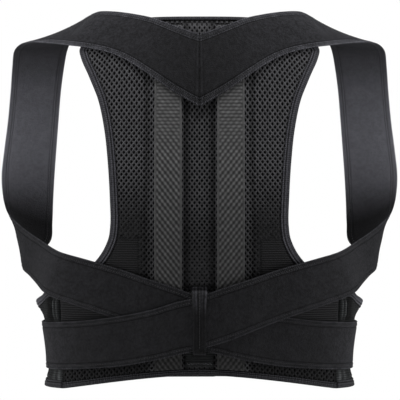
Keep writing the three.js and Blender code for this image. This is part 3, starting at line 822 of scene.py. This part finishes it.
def tapeSection(width):
    # the tape's loop as inward and off: over the top, round the edge, back under, and
    # inside again, with a tone for each of its points that paints light and shade on it
    top = binding["cloth"] + binding["gap"] + binding["thickness"]
    low = -binding["gap"] - binding["thickness"]
    middle = (top + low) / 2
    reach = (top - low) / 2
    inward = width * np.linspace(1, 0.06, 21)
    share = 1 - inward / width
    ridges = bump(share, 0.12, 0.08) + bump(share, 0.5, 0.1) + 0.35 * bump(share, 0.85, 0.12)
    grooves = bump(share, 0.31, 0.09) + 0.4 * bump(share, 0.7, 0.07)
    lift = 0.2 * ridges - 0.36 * grooves - 0.35 * bump(share, 0, 0.03)
    # painted light on the ridges; painted shade in the grooves and along the tape's inner edge
    lines = 1.2 * bump(share, 0.12, 0.08) + 0.9 * bump(share, 0.5, 0.1) - 1.9 * bump(share, 0.31, 0.09)
    tone = 2.1 + lines - 0.5 * bump(share, 0.7, 0.07) - 1.5 * bump(share, 0, 0.04)
    arc = np.linspace(90, 270, 9)[1:-1] * degree
    fold = [(binding["fold"] * (0.15 + np.cos(a)), middle + reach * np.sin(a)) for a in arc]
    outer = [(x, top + rise) for x, rise in zip(inward, lift)] + fold
    outer += [(x, low - rise * 0.5) for x, rise in zip(inward[::-1], lift[::-1])]
    # the rolled edge gets painted shade, darker than the top face
    tones = list(tone) + [1.0] * len(arc) + list(tone[::-1])
    thick = binding["thickness"] * 0.8
    inner = []
    for x, off in outer[::-1]:
        shrink = np.clip((off - middle) / reach, -1, 1)
        inner.append((max(x, 0.25), middle + shrink * (reach - thick)))
    tones += [0.5] * len(inner)
    return np.array(outer + inner), np.array(tones)


def resample(points, step):
    points = np.asarray(points, float)
    along = np.concatenate([[0], np.cumsum(np.linalg.norm(np.diff(points, axis=0), axis=1))])
    places = np.linspace(0, along[-1], max(int(along[-1] / step), 2) + 1)
    return np.stack([np.interp(places, along, points[:, k]) for k in range(points.shape[1])], -1), places


def foldedTape(
    name, edge, place, node, mirror=False, width=binding["width"], shade=None, step=binding["step"]
):
    # a tape over the cloth's edge, with the cloth on the edge's left. The shade makes it
    # lighter or darker by its place
    edge, along = resample(edge, step)
    run = unit(np.gradient(edge, axis=0))
    section, tones = tapeSection(width)
    inward, off = section[:, 0][None], section[:, 1][None]
    x = edge[:, :1] - run[:, 1:] * inward
    y = edge[:, 1:] + run[:, :1] * inward
    loops = place(x, y, off)
    tone = tones[None] + 0 * x
    if shade:
        tone = tone * shade(edge[:, :1], edge[:, 1:])
    cloth = np.stack([inward + 0 * x, along[:, None] + 0 * x, 0 * x], -1)
    piece = skin(name, loops, cloth, tone, tape, mirror)
    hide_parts(node)
    flat = ((2 * width + binding["wrap"]) * millimetre, float(along[-1]) * millimetre)
    inset = width * binding["stitchInset"]
    x, y = edge[:, 0] - run[:, 1] * inset, edge[:, 1] + run[:, 0] * inset
    top = binding["cloth"] + binding["gap"] + binding["thickness"] - 0.3
    runs = []
    for face, height in ((1, top), (-1, -1.2)):
        line, far = place(x, y, height), place(x, y, height + face)
        runs.append((line * sideSign(mirror), unit(far - line) * sideSign(mirror)))
    return runs


# belt

belt = {
    "thickness": 3,
    "boundThickness": 2,
    "leftEnd": 195,
    "rightEnd": 205,
    "corner": 15,
    "topFlare": 7,
    "hemFlare": 3,
    "foldHeight": 3,
    "foldWidth": 5,
    "seamGap": 0.9,
    "bandTop": 0.8215 * shoulderToHem,
    "bandLow": 0.952 * shoulderToHem,
    "hookThickness": 1.2,
    "layerGap": 0.6,
    "tapeWidth": 7,
    "lengthStep": 2.6,
    "dropStep": 2.2,
    "hookInset": 18,
    "hookPatchLength": 50,
}

wingTopRows = (
    ("angle", "drop"),
    (60, 0.717),
    (75, 0.731),
    (85, 0.753),
    (95, 0.772),
    (120, 0.782),
    (180, 0.785),
    (210, 0.785),
)
wingTopAt = curveThrough(wingTopRows, {"drop": shoulderToHem})


def wingStart(drop):
    seam = panelPlace(panelHalf(drop), drop, 0)
    return lengthAtTurn(np.arctan2(seam[..., 0], -seam[..., 1]) / degree) + belt["seamGap"]


seamStart = float(wingStart(float(panel["seamDrop"])))


def wingOff(length, drop, over):
    turn = turnAtLength(length)
    edgeDrop = wingTopAt(turn)[0]
    curl = 1 - smoothstep((drop - edgeDrop) / (belt["bandTop"] - belt["layerGap"] - edgeDrop), 0, 1)
    side = smoothstep(turn, 82, 92) * (1 - 0.85 * smoothstep(turn, 98, 130))
    hemCurl = smoothstep(drop, belt["bandLow"], shoulderToHem)
    hemSide = smoothstep(turn, 62, 80)
    overlap = smoothstep(turn, 150, 163) * (belt["thickness"] + belt["hookThickness"] + 2 * belt["layerGap"])
    return belt["topFlare"] * curl * side + belt["hemFlare"] * hemCurl * hemSide + (overlap if over else 0)


def foldOff(length, drop):
    fromSeam = (length - seamStart) / belt["foldWidth"]
    strapTop = 0.82 * shoulderToHem
    top = float(wingTopAt(75)[0]) + belt["tapeWidth"]
    middle = smoothstep(drop, top, top + 6) * (1 - smoothstep(drop, strapTop - 8, strapTop - 2))
    inside = (fromSeam > 0) & (fromSeam < 2.5)
    return np.where(inside, belt["foldHeight"] * middle * np.sin(math.pi * fromSeam) ** 2, 0)


def wingEdges(length, end):
    inset = cornerInset(end - length, belt["corner"])
    return wingTopAt(turnAtLength(length))[0] + inset, shoulderToHem - inset


def leanLength(length, drop):
    return length + (wingStart(drop) - seamStart) * (1 - smoothstep(length - seamStart, 0, 60))


def wingPlace(length, drop, off):
    return bodyPoint(turnAtLength(leanLength(length, drop)) * degree, drop, off)


def beltWing(side):
    over = side == "right"
    end = float(lengthAtTurn(belt[f"{side}End"]))
    start = seamStart - belt["seamGap"] + 0.1
    nearSeam = start + np.arange(0, 30, 0.8)
    lengths = np.arange(start + 31, end - belt["corner"], belt["lengthStep"])
    lengths = np.concatenate([nearSeam, lengths, cornerPlaces(end, belt["corner"], 9)])
    top, low = wingEdges(lengths, end)
    shares = np.linspace(0, 1, int(104 / belt["dropStep"]))
    length = lengths[:, None] + 0 * shares[None]
    drop = lerp(top[:, None], low[:, None], shares[None])
    fromEdge = np.minimum(drop - top[:, None], low[:, None] - drop)
    fromEdge = np.minimum(fromEdge, np.minimum(length - start + belt["tapeWidth"], end - length))
    swell = smoothstep(fromEdge, belt["tapeWidth"] + 0.2, belt["tapeWidth"] + 2.8)
    thickness = lerp(belt["boundThickness"], belt["thickness"], swell)
    base = wingOff(length, drop, over) + foldOff(length, drop)
    pleat = 0.35 * pleatWave(length) * smoothstep(drop, belt["bandLow"] - 4, belt["bandLow"] + 3)
    pleat = pleat * swell * (1 - smoothstep(length - start, 60, 90))
    outer = wingPlace(length, drop, base + thickness + pleat)
    loops = bothFaces(outer, wingPlace(length, drop, base))
    above = 1 - smoothstep(drop, belt["bandTop"] - 4, belt["bandTop"] + 2)
    fromSeam = length - start
    # painted shade in the hollow beside the side seam and along the seam line; painted highlights on the
    # puffs below the band with painted shade between them; painted light on the fold crests and painted
    # shade over the rest above the band, under the strap
    hollowShade = smoothstep(fromSeam, 10, 13) * (1 - smoothstep(fromSeam, 20, 30)) + bump(fromSeam, 0, 1.2)
    below = smoothstep(drop, belt["bandLow"] - 2, belt["bandLow"] + 4)
    puffHighlights = 2.2 * bump(fromSeam, 5, 3) - 0.5 * bump(fromSeam, 10, 1.5) + 1.3 * bump(fromSeam, 15, 3)
    foldLightAndShade = 1 + (0.55 * foldOff(length, drop) - 0.45) * above
    tone = foldLightAndShade * (1 - 0.85 * hollowShade * above) * (1 + puffHighlights * below)
    tone = bothFaces(tone, 0.9 + 0 * drop)
    name, cloth = f"beltWing{side.title()}", clothFaces(length, drop)
    piece = skin(name, loops, cloth, tone, beltCloth, mirror=side == "left")
    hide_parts(f"belt_wing_{side}")
    return piece


def wingBinding(side):
    over = side == "right"
    end = float(lengthAtTurn(belt[f"{side}End"]))
    start = seamStart - belt["seamGap"] + 0.2
    lengths = np.linspace(start, end - belt["corner"], 120)
    lengths = np.concatenate([lengths, cornerPlaces(end, belt["corner"], 12)[1:]])
    top, low = wingEdges(lengths, end)
    points = np.concatenate([np.stack([lengths, top], -1), np.stack([lengths, low], -1)[::-1]])
    place = lambda length, drop, off: wingPlace(length, drop, off + wingOff(length, drop, over))
    curl = float(lengthAtTurn(90))
    # painted highlight where the tape curls out near the top of the wing's side
    light = lambda length, drop: 0.62 + 0.8 * bump(length, curl, 22) * (drop < belt["bandTop"])
    name, node = f"wingBinding{side.title()}", f"wing_binding_{side}"
    width, step = belt["tapeWidth"], binding["wingStep"]
    return foldedTape(name, points, place, node, side == "left", width, light, step)


# straps

strap = {
    "width": 51,
    "thickness": 2,
    "edgeThickness": 1.4,
    "end": 148,
    "corner": 8,
    "gap": 0.9,
    "seamGap": 0.1,
    "hookMargin": 4,
    "hookLength": 44,
    "boundTop": 3.5,  # top of the bound cloth that the strap lies on
    "stitchInset": 3.8,
    "step": 3.4,
}

strapRows = (
    ("across", "depth", "drop", "out", "fore", "down", "lie", "crown"),
    (0, -0.425, 0.134, 0, -0.47, 1.45, 1, 0),
    (0.088, -0.42, 0.109, 0.19, -0.43, 1.28, 1, 0),
    (0.192, -0.41, 0.077, 0.35, -0.39, 1.06, 1, 0),
    (0.29, -0.394, 0.05, 0.45, -0.33, 0.9, 1, 0),
    (0.399, -0.358, 0.03, 0.46, -0.39, 0.81, 1, 0),
    (0.501, -0.29, 0.017, 0.58, -0.45, 0.75, 1, 0),
    (0.585, -0.2, 0.0105, 0.73, -0.37, 0.67, 0, 0),
    (0.654, -0.104, 0.012, 0.9, -0.31, 0.53, 0, 0),
    (0.712, -0.005, 0.02, 1, -0.27, 0.34, 0, 0),
    (0.761, 0.09, 0.036, 1.08, -0.2, 0.16, 0, 0),
    (0.793, 0.165, 0.061, 1.1, -0.12, 0.03, 0, 0),
    (0.808, 0.219, 0.101, 1.08, -0.06, 0, 0, 0),
    (0.824, 0.262, 0.174, 1.05, -0.06, 0, 0, 0),
    (0.839, 0.288, 0.26, 1.06, -0.04, 0, 0, 0),
    (0.854, 0.3, 0.34, 1.09, -0.06, 0, 0, 0),
    (0.865, 0.3, 0.412, 1.1, -0.12, -0.04, 0, 0),
    (0.866, 0.29, 0.472, 1.05, -0.24, -0.22, 0, 0.03),
    (0.861, 0.264, 0.519, 0.98, -0.39, -0.43, 0, 0.14),
    (0.852, 0.229, 0.562, 0.84, -0.49, -0.59, 0, 0.19),
    (0.863, 0.167, 0.598, 0.28, -0.57, -0.68, 0, 0.17),
    (0.855, 0.085, 0.626, -0.2, -0.63, -0.71, 0, 0.1),
    (0.804, -0.009, 0.648, -0.36, -0.69, -0.72, 0.1, 0.05),
    (0.737, -0.132, 0.67, -0.48, -0.71, -0.76, 0.4, 0.03),
    (0.65, -0.264, 0.691, -0.57, -0.55, -0.82, 1, 0),
    (0.545, -0.358, 0.712, -0.55, -0.39, -0.84, 1, 0),
    (0.425, -0.422, 0.7355, -0.48, -0.22, -0.89, 1, 0),
    (0.286, -0.455, 0.763, -0.32, -0.1, -0.96, 1, 0),
    (0.149, -0.47, 0.79, -0.2, -0.06, -1.03, 1, 0),
    (0, -0.47, 0.816, 0, -0.06, -1.06, 1, 0),
)

waistRows = (
    ("angle", "top", "low"),
    (14, 0.758, 0.902),
    (28, 0.7785, 0.917),
    (45, 0.798, 0.934),
    (60, 0.812, 0.944),
    (75, 0.82, 0.951),
    (90, 0.8215, 0.952),
    (110, 0.8215, 0.952),
    (130, 0.8215, 0.952),
    (148, 0.8215, 0.952),
)

boundTop = strap["boundTop"]
coverFace = channelTop + webStrip["gap"] + webStrip["thickness"]
hookEnd = lengthAtTurn(strap["end"]) - strap["hookMargin"]
hookTurns = (float(turnAtLength(hookEnd - strap["hookLength"])), float(turnAtLength(hookEnd)))


def strapOff(angle, drop, over):
    turn = np.abs(angle) / degree
    coverTurn = angleAcross(webStrip["start"] + webStrip["width"] + 0 * drop, drop) / degree
    nearCover = 1 - smoothstep(turn - coverTurn, 1, 14)
    nearHook = smoothstep(turn, hookTurns[0] - 14, hookTurns[0] - 2)
    base = lerp(boundTop, coverFace, nearCover) + strap["gap"]
    hook = (belt["thickness"] + belt["layerGap"] + belt["hookThickness"] - boundTop) * nearHook
    crossing = 1 - smoothstep(turn, 52, 70)
    step = np.where((drop > shoulderToHem / 2) & over, (strap["thickness"] + strap["gap"]) * crossing, 0)
    return base + hook + step


def strapRoute():
    # control rows along the strap, led by the distance along it
    rows = []
    for across, depth, drop, out, fore, down, lie, crown in strapRows[1:]:
        reach, width = body["armReach"], strap["width"]
        place = [across * reach, depth * reach, drop * shoulderToHem]
        rows.append(place + [out * width, fore * width, down * width, lie, crown * width])
    for angle, top, low in waistRows[1:]:
        drop = (top + low) / 2 * shoulderToHem
        point = bodyPoint(-angle * degree, drop, boundTop)
        rows.append([float(point[0]), float(point[1]), drop, 0, 0, (top - low) * shoulderToHem, 1, 0])
    rows = np.array(rows)
    steps = np.linalg.norm(np.diff(rows[:, :3], axis=0), axis=1)
    along = np.concatenate([[0], np.cumsum(steps)])
    names = ("along", "x", "y", "drop", "out", "fore", "down", "lie", "crown")
    return curveThrough((names, *np.column_stack([along, rows]))), float(along[-1])


def strapColumns():
    # places across the strap from -1 to 1, close together at its edges, and how far the
    # surface there stands off the middle of the cloth, with its tone of painted light and shade
    half = strap["width"] / 2
    fromEdge = np.concatenate([np.arange(0, 7.4, 0.36), np.linspace(8.4, half, 7)])
    across = np.concatenate([fromEdge / half - 1, (1 - fromEdge / half)[::-1][1:]])
    edge = half * (1 - np.abs(across))
    ridges = bump(edge, 0.8, 0.5) + 0.3 * bump(edge, 2.8, 0.9) + 0.6 * bump(edge, 5.1, 0.5)
    grooves = 0.5 * bump(edge, 1.8, 0.4) + 1.1 * bump(edge, 4.2, 0.4) + 1.4 * bump(edge, 6.2, 0.5)
    full = lerp(strap["edgeThickness"], strap["thickness"], smoothstep(edge, 0, 9)) / 2
    rounding = np.sqrt(np.clip(edge / 0.8, 0, 1))
    stand = full * rounding + 0.12 * ridges - 0.26 * grooves
    # painted light on the ridges and painted shade in the grooves along the edges
    tone = 1 + 1.6 * ridges - 0.6 * grooves
    band = 1 - smoothstep(edge, 5.2, 6.4)
    return across, stand, tone, band


# painted light and shade along the strap's outer face: lighter over the outer yoke and at the band's end,
# darker at the yoke's middle and along the waist band
strapPaintedLight = (
    (0, 0.72),
    (30, 0.8),
    (70, 1.2),
    (115, 1.5),
    (200, 1.5),
    (260, 1),
    (520, 1),
    (620, 0.85),
    (680, 0.8),
    (850, 0.75),
    (890, 1.2),
    (910, 1.5),
    (940, 1),
)

# how light the smooth inner face is drawn along the strap: its cloth is lighter, with painted light
# strongest in front of the chest and painted shade where it turns under below (about 420 to 450)
strapInsideColourAndShade = (
    (0, 1.1),
    (235, 1.4),
    (262, 4.5),
    (290, 8.5),
    (320, 10.5),
    (352, 10.5),
    (385, 7.4),
    (403, 4),
    (420, 0.6),
    (450, 0.3),
    (520, 1),
)


def strapSkin(over):
    routeAt, total = strapRoute()
    across, stand, tone, band = strapColumns()
    nearSeam, free = np.arange(0, 6, 0.75), np.arange(6, total - strap["corner"], strap["step"])
    along = np.concatenate([nearSeam, free, cornerPlaces(total, strap["corner"], 8)])

    def middlesAt(along):
        x, y, drop, out, fore, down, lie, crown = routeAt(along)
        inset = cornerInset(total - along, strap["corner"])
        narrow = (1 - 2 * inset / strap["width"])[:, None, None]
        side = np.stack([out, fore, -down], -1)
        ahead = np.stack(routeAt(np.minimum(along + 1, total))[:3], -1)
        behind = np.stack(routeAt(np.maximum(along - 1, 0))[:3], -1)
        run = (ahead - behind) * np.array([1, 1, -1])
        outward = unit(np.cross(side, run))
        centre = np.stack([x, y, -drop], -1)
        free = centre[:, None] + side[:, None] * narrow * across[None, :, None] / 2
        free = free + outward[:, None] * (crown[:, None] * (1 - across[None] ** 2))[..., None]
        angle = np.arctan2(free[..., 0], -free[..., 1])
        height = strapOff(angle, -free[..., 2], over) + strap["thickness"] / 2
        lying = bodyPoint(angle, -free[..., 2], height)
        return lerp(free, lying, np.clip(lie, 0, 1)[:, None, None])

    middles = middlesAt(along)
    lengthwise = np.gradient(middles, axis=0)
    crosswise = np.gradient(middles, axis=1)
    normals = unit(np.cross(crosswise, lengthwise))
    nap = stand[None, :, None]
    outer = middles + normals * nap
    inner = middles - normals * nap
    outer[0, :, 0] = strap["seamGap"]
    inner[0, :, 0] = strap["seamGap"]
    # the woven edge bands are drawn lighter on the yoke, and painted light and shade runs along the strap
    onYoke = 1 - smoothstep(along, 190, 260)[:, None]
    pile = np.interp(along, *np.array(strapPaintedLight).T)[:, None]
    tone = tone[None] * (1 + 0.95 * onYoke * band[None]) * pile
    return along, across, tone, band, outer, inner, normals


def shoulderStrap(side):
    over = side == "right"
    along, across, tone, band, outer, inner, normals = strapSkin(over)
    mirror = side == "left"
    cloth = clothFaces(across[None] * strap["width"] / 2, along[:, None], band[None], innerMark=2)
    seam = 1 - 0.75 * bump(along, 0, 1) + 0.42 * bump(along, 2.3, 0.9) - 0.4 * bump(along, 4.3, 0.8)
    # the inner face's lighter cloth with its painted light and shade
    inside = np.interp(along, *np.array(strapInsideColourAndShade).T)
    tones = bothFaces(tone * seam[:, None], lerp(1, tone, 0.35) * (seam * inside)[:, None])
    piece = skin(f"strap{side.title()}", bothFaces(outer, inner), cloth, tones, elastic, mirror)
    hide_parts(f"strap_{side}")
    sign = sideSign(mirror)
    runs = []
    for edge in (-1, 1):
        place = edge * (1 - strap["stitchInset"] / (strap["width"] / 2))
        column = int(np.argmin(np.abs(across - place)))
        for face, way in ((outer, 1), (inner, -1)):
            runs.append((face[2:-4, column] * sign, way * normals[2:-4, column] * sign))
    return runs


# keeper loop and hem tab

keeper = {
    "topWidth": 16,
    "width": 13,
    "thickness": 1.6,
    "foot": 5,
    "tabHeight": 19,
    "tabThickness": 1.2,
    "tabHalf": 14,
    "tabHemGap": 8.3,
    "zigzagInset": 2.6,
    "ribs": 5,
}


def keeperRoute():
    # drop, height off the body and width along the keeper, from its upper foot to its lower
    aside, crossing = strapRows[-2], strapRows[-1]
    width, reach = strap["width"], body["armReach"]
    upper = lambda row: row[2] * shoulderToHem + row[5] * width / 2
    lower = lambda row: row[2] * shoulderToHem - row[5] * width / 2
    rise = (upper(crossing) - upper(aside)) / (aside[0] * reach)
    top = upper(crossing) - rise * keeper["topWidth"] / 2 - belt["layerGap"]
    low = lower(crossing) + rise * keeper["width"] / 2 + belt["layerGap"]
    onPanel = panel["thickness"] + belt["layerGap"]
    onTab = onPanel + keeper["tabThickness"] + belt["layerGap"]
    onStraps = coverFace + 2 * (strap["thickness"] + strap["gap"]) + belt["layerGap"]
    thick = keeper["thickness"]
    wide, slim = keeper["topWidth"], keeper["width"]
    return (
        (top - thick - keeper["foot"], onPanel, wide),
        (top - thick - 1.5, onPanel, wide),
        (top - thick, onPanel + 1, wide),
        (top - thick * 0.5, onPanel + 3.4, wide),
        (top, onStraps - 0.8, wide),
        (top + 2.5, onStraps, wide * 0.97),
        (lerp(top, low, 0.2), onStraps, lerp(wide, slim, 0.7)),
        (lerp(top, low, 0.45), onStraps, slim),
        (lerp(top, low, 0.75), onStraps, slim),
        (low - 2.5, onStraps, slim),
        (low, onStraps - 0.8, slim),
        (low + thick * 0.5, onTab + 3, slim),
        (low + thick, onTab + 1, slim),
        (low + thick + 1.5, onTab, slim),
        (low + thick + 3, onTab, slim),
    )


def keeperLoop():
    rows = np.array(keeperRoute())
    fine, _ = resample(rows, 0.8)
    columns = np.linspace(-1, 1, 41)
    drop, off, width = fine[:, :1], fine[:, 1:2], fine[:, 2:]
    across = width / 2 * columns[None]
    top = rows[4, 0]
    pleats = 1 - smoothstep(drop - top, 4, 26)
    ribs = 0.11 * np.cos(math.pi * keeper["ribs"] * columns)[None] * (1 + 1.4 * pleats)
    rounding = np.sqrt(np.clip((1 - np.abs(columns)) / 0.12, 0, 1))[None]
    run = unit(np.gradient(fine[:, :2], axis=0))
    lift = keeper["thickness"] * (0.35 + 0.65 * rounding) + ribs
    outer = panelPlace(across, drop - run[:, 1:2] * lift, off + run[:, :1] * lift)
    inner = panelPlace(across, drop, off)
    sides = bump(np.abs(columns), 0.97, 0.06)[None]
    # painted light on the rib crests and painted shade between them; darker along the sides and down the
    # middle, and lighter in streaks where it pleats at the top
    tone = 0.36 + 0.6 * ribs - 0.2 * sides - 0.25 * bump(columns, 0, 0.09)[None]
    streaks = 1 + pleats * (4 + 2 * np.sin(9 * columns)[None])
    tone = bothFaces(tone * streaks, 0.5 + 0 * tone)
    cloth = clothFaces(across, drop)
    piece = skin("keeperLoop", bothFaces(outer, inner), cloth, tone, elastic)
    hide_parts("keeper_loop")
    face, middle = slice(8, -16), len(columns) // 2
    line = outer[face, middle]
    return [(line, unit(line - inner[face, middle]))]


def hemTab():
    low = panel["thickness"] + belt["layerGap"]
    columns = np.linspace(-keeper["tabHalf"], keeper["tabHalf"], 48)
    shares = np.linspace(0, 1, 34)[:, None]
    across = columns[None] + 0 * shares
    bottom = hemDrop(across) - keeper["tabHemGap"]
    drop = bottom - keeper["tabHeight"] * (1 - shares)
    fromEnd = keeper["tabHeight"] * np.minimum(shares, 1 - shares)
    fromEdge = np.minimum(keeper["tabHalf"] - np.abs(across), fromEnd)
    height = low + keeper["tabThickness"] * (0.4 + 0.6 * smoothstep(fromEdge, 0, 0.9))
    loops = bothFaces(panelPlace(across, drop, height), panelPlace(across, drop, low))
    tone = np.full(loops.shape[:2], 0.62)
    piece = skin("hemTab", loops, clothFaces(across, drop), tone, beltCloth)
    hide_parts("hem_tab")
    face = low + keeper["tabThickness"]
    zig = np.arange(-keeper["tabHalf"] + 1.5, keeper["tabHalf"] - 1.4, 1.9)
    way = np.where(np.arange(len(zig)) % 2, 1, -1)
    inset = keeper["zigzagInset"]
    runs = []
    for level, swing in ((inset, 1.1), (keeper["tabHeight"] - inset, 0.8)):
        drops = hemDrop(zig) - keeper["tabHemGap"] - keeper["tabHeight"] + level + swing * way
        line, far = panelPlace(zig, drops, face), panelPlace(zig, drops, face + 1)
        runs.append((line, unit(far - line)))
    return runs


# hook patches


def hookPatch(name, node, turns, drops, height, mirror):
    turn, drop = np.meshgrid(np.linspace(*turns, 40), np.linspace(*drops, 30), indexing="ij")
    outer = bodyPoint(turn * degree, drop, height + belt["hookThickness"])
    loops = bothFaces(outer, bodyPoint(turn * degree, drop, height))
    cloth = clothFaces(lengthAtTurn(turn), drop)
    piece = skin(name, loops, cloth, np.ones(loops.shape[:2]), hooks, mirror)
    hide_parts(node)
    width = float(lengthAtTurn(turns[1]) - lengthAtTurn(turns[0]))


def hookPatches():
    height = belt["thickness"] + belt["layerGap"]
    margin = strap["hookMargin"]
    drops = (belt["bandTop"] + margin, belt["bandLow"] - margin)
    for side in ("right", "left"):
        name, node = f"strapHooks{side.title()}", f"strap_hook_patch_{side}"
        hookPatch(name, node, hookTurns, drops, height, side == "left")
    inset = belt["hookInset"]
    end = float(lengthAtTurn(belt["leftEnd"])) - inset
    turns = (float(turnAtLength(end - belt["hookPatchLength"])), float(turnAtLength(end)))
    drops = (float(wingTopAt(180)[0]) + inset, shoulderToHem - inset)
    hookPatch("beltHooks", "belt_hook_patch", turns, drops, height, True)


# assembly


def panelBindings():
    runs = []
    across = np.linspace(-binding["collarHalf"], binding["collarHalf"], 120)
    edge = np.stack([across, topDrop(across)], -1)
    runs += foldedTape("collarBinding", edge, panelPlace, "collar_binding", width=binding["collarWidth"])
    half = panel["hemHalf"] - 0.2
    across = np.linspace(half, -half, 200)
    edge = np.stack([across, hemDrop(across)], -1)
    # the hem tape is drawn darker, with painted light and shade for the pleats where the hem is drawn in
    pleatShading = lambda x, drop: 0.5 + 0.2 * pleatWave(x) * smoothstep(np.abs(x), 50, 62)
    width = binding["hemWidth"]
    runs += foldedTape("hemBinding", edge, panelPlace, "hem_binding", width=width, shade=pleatShading)
    levels = np.linspace(binding["armholeStart"], panel["seamDrop"] + binding["pastSeam"], 220)
    edge = np.stack([panelHalf(levels), levelDrop(levels, panelHalf(levels))], -1)
    for side in ("right", "left"):
        name = f"armholeBinding{side.title()}"
        runs += foldedTape(name, edge, panelPlace, f"armhole_binding_{side}", side == "left")
    stitchPiece("panelStitches", runs, threads)


backPanel()
for side in ("right", "left"):
    channelCover(side)
panelBindings()
print("panel made")

wingRuns = []
for side in ("right", "left"):
    beltWing(side)
    wingRuns += wingBinding(side)
stitchPiece("beltStitches", wingRuns, threads)
print("belt made")

for side in ("right", "left"):
    stitchPiece(f"strapStitches{side.title()}", shoulderStrap(side), threads, seamThread)
print("straps made")

stitchPiece("keeperStitches", keeperLoop(), threads, {**seamThread, "tone": 0.4})
stitchPiece("tabStitches", hemTab(), threads, zigzag)
hookPatches()
print("keeper, tab and hook patches made")

# floor and light

room = {
    "floorHeight": -0.62,
    "floorRadius": 2.7,
    "sky": 0.06,
    "topPower": 52,
    "sidePower": 23,
    "frontPower": 2,
    "farPower": 14,
}


def addFloor():
    turns = np.linspace(0, 2 * math.pi, 97)[:-1]
    mesh = bpy.data.meshes.new("floor")
    radius, height = room["floorRadius"], room["floorHeight"]
    rim = [(radius * math.cos(turn), radius * math.sin(turn), height) for turn in turns]
    mesh.from_pydata(rim, [], [list(range(len(rim)))])
    floor = bpy.data.objects.new("floor", mesh)
    bpy.context.scene.collection.objects.link(floor)
    paint = Paint("floor")
    mesh.materials.append(paint.finish(Base_Color=(0.82, 0.82, 0.82, 1), Roughness=0.9))


def addArea(name, place, aim, size, power):
    lamp = bpy.data.lights.new(name, "AREA")
    lamp.shape = "RECTANGLE"
    lamp.size, lamp.size_y = size
    lamp.energy = power
    light = bpy.data.objects.new(name, lamp)
    bpy.context.scene.collection.objects.link(light)
    light.location = place
    away = np.array(place) - np.array(aim)
    flat = math.hypot(away[0], away[1])
    light.rotation_euler = (math.atan2(flat, away[2]), 0, math.atan2(away[1], away[0]) + math.pi / 2)


def addWorld():
    world = bpy.data.worlds.new("studio")
    world.use_nodes = True
    bpy.context.scene.world = world
    nodes, links = world.node_tree.nodes, world.node_tree.links
    back = nodes["Background"]
    back.inputs["Color"].default_value = (1, 1, 1, 1)
    path = nodes.new("ShaderNodeLightPath")
    blend = nodes.new("ShaderNodeMapRange")
    blend.inputs["To Min"].default_value = room["sky"]
    blend.inputs["To Max"].default_value = 1.0
    links.new(path.outputs["Is Camera Ray"], blend.inputs["Value"])
    links.new(blend.outputs["Result"], back.inputs["Strength"])


addFloor()
addWorld()
addArea("topLight", (0, -0.55, 2.1), (0, 0, -0.1), (1.6, 0.9), room["topPower"])
addArea("leftLight", (-2.0, -0.3, 0.2), (0, 0, -0.2), (0.8, 1.6), room["sidePower"])
addArea("rightLight", (2.0, -0.3, 0.2), (0, 0, -0.2), (0.8, 1.6), room["sidePower"])
addArea("farLight", (0, 2.3, 0.7), (0, 0, -0.2), (1.6, 1.0), room["farPower"])
addArea("frontLight", (0, -2.2, 0.9), (0, 0, -0.2), (1.2, 0.8), room["frontPower"])
bpy.context.scene.view_settings.view_transform = "Standard"
print("floor and light made")
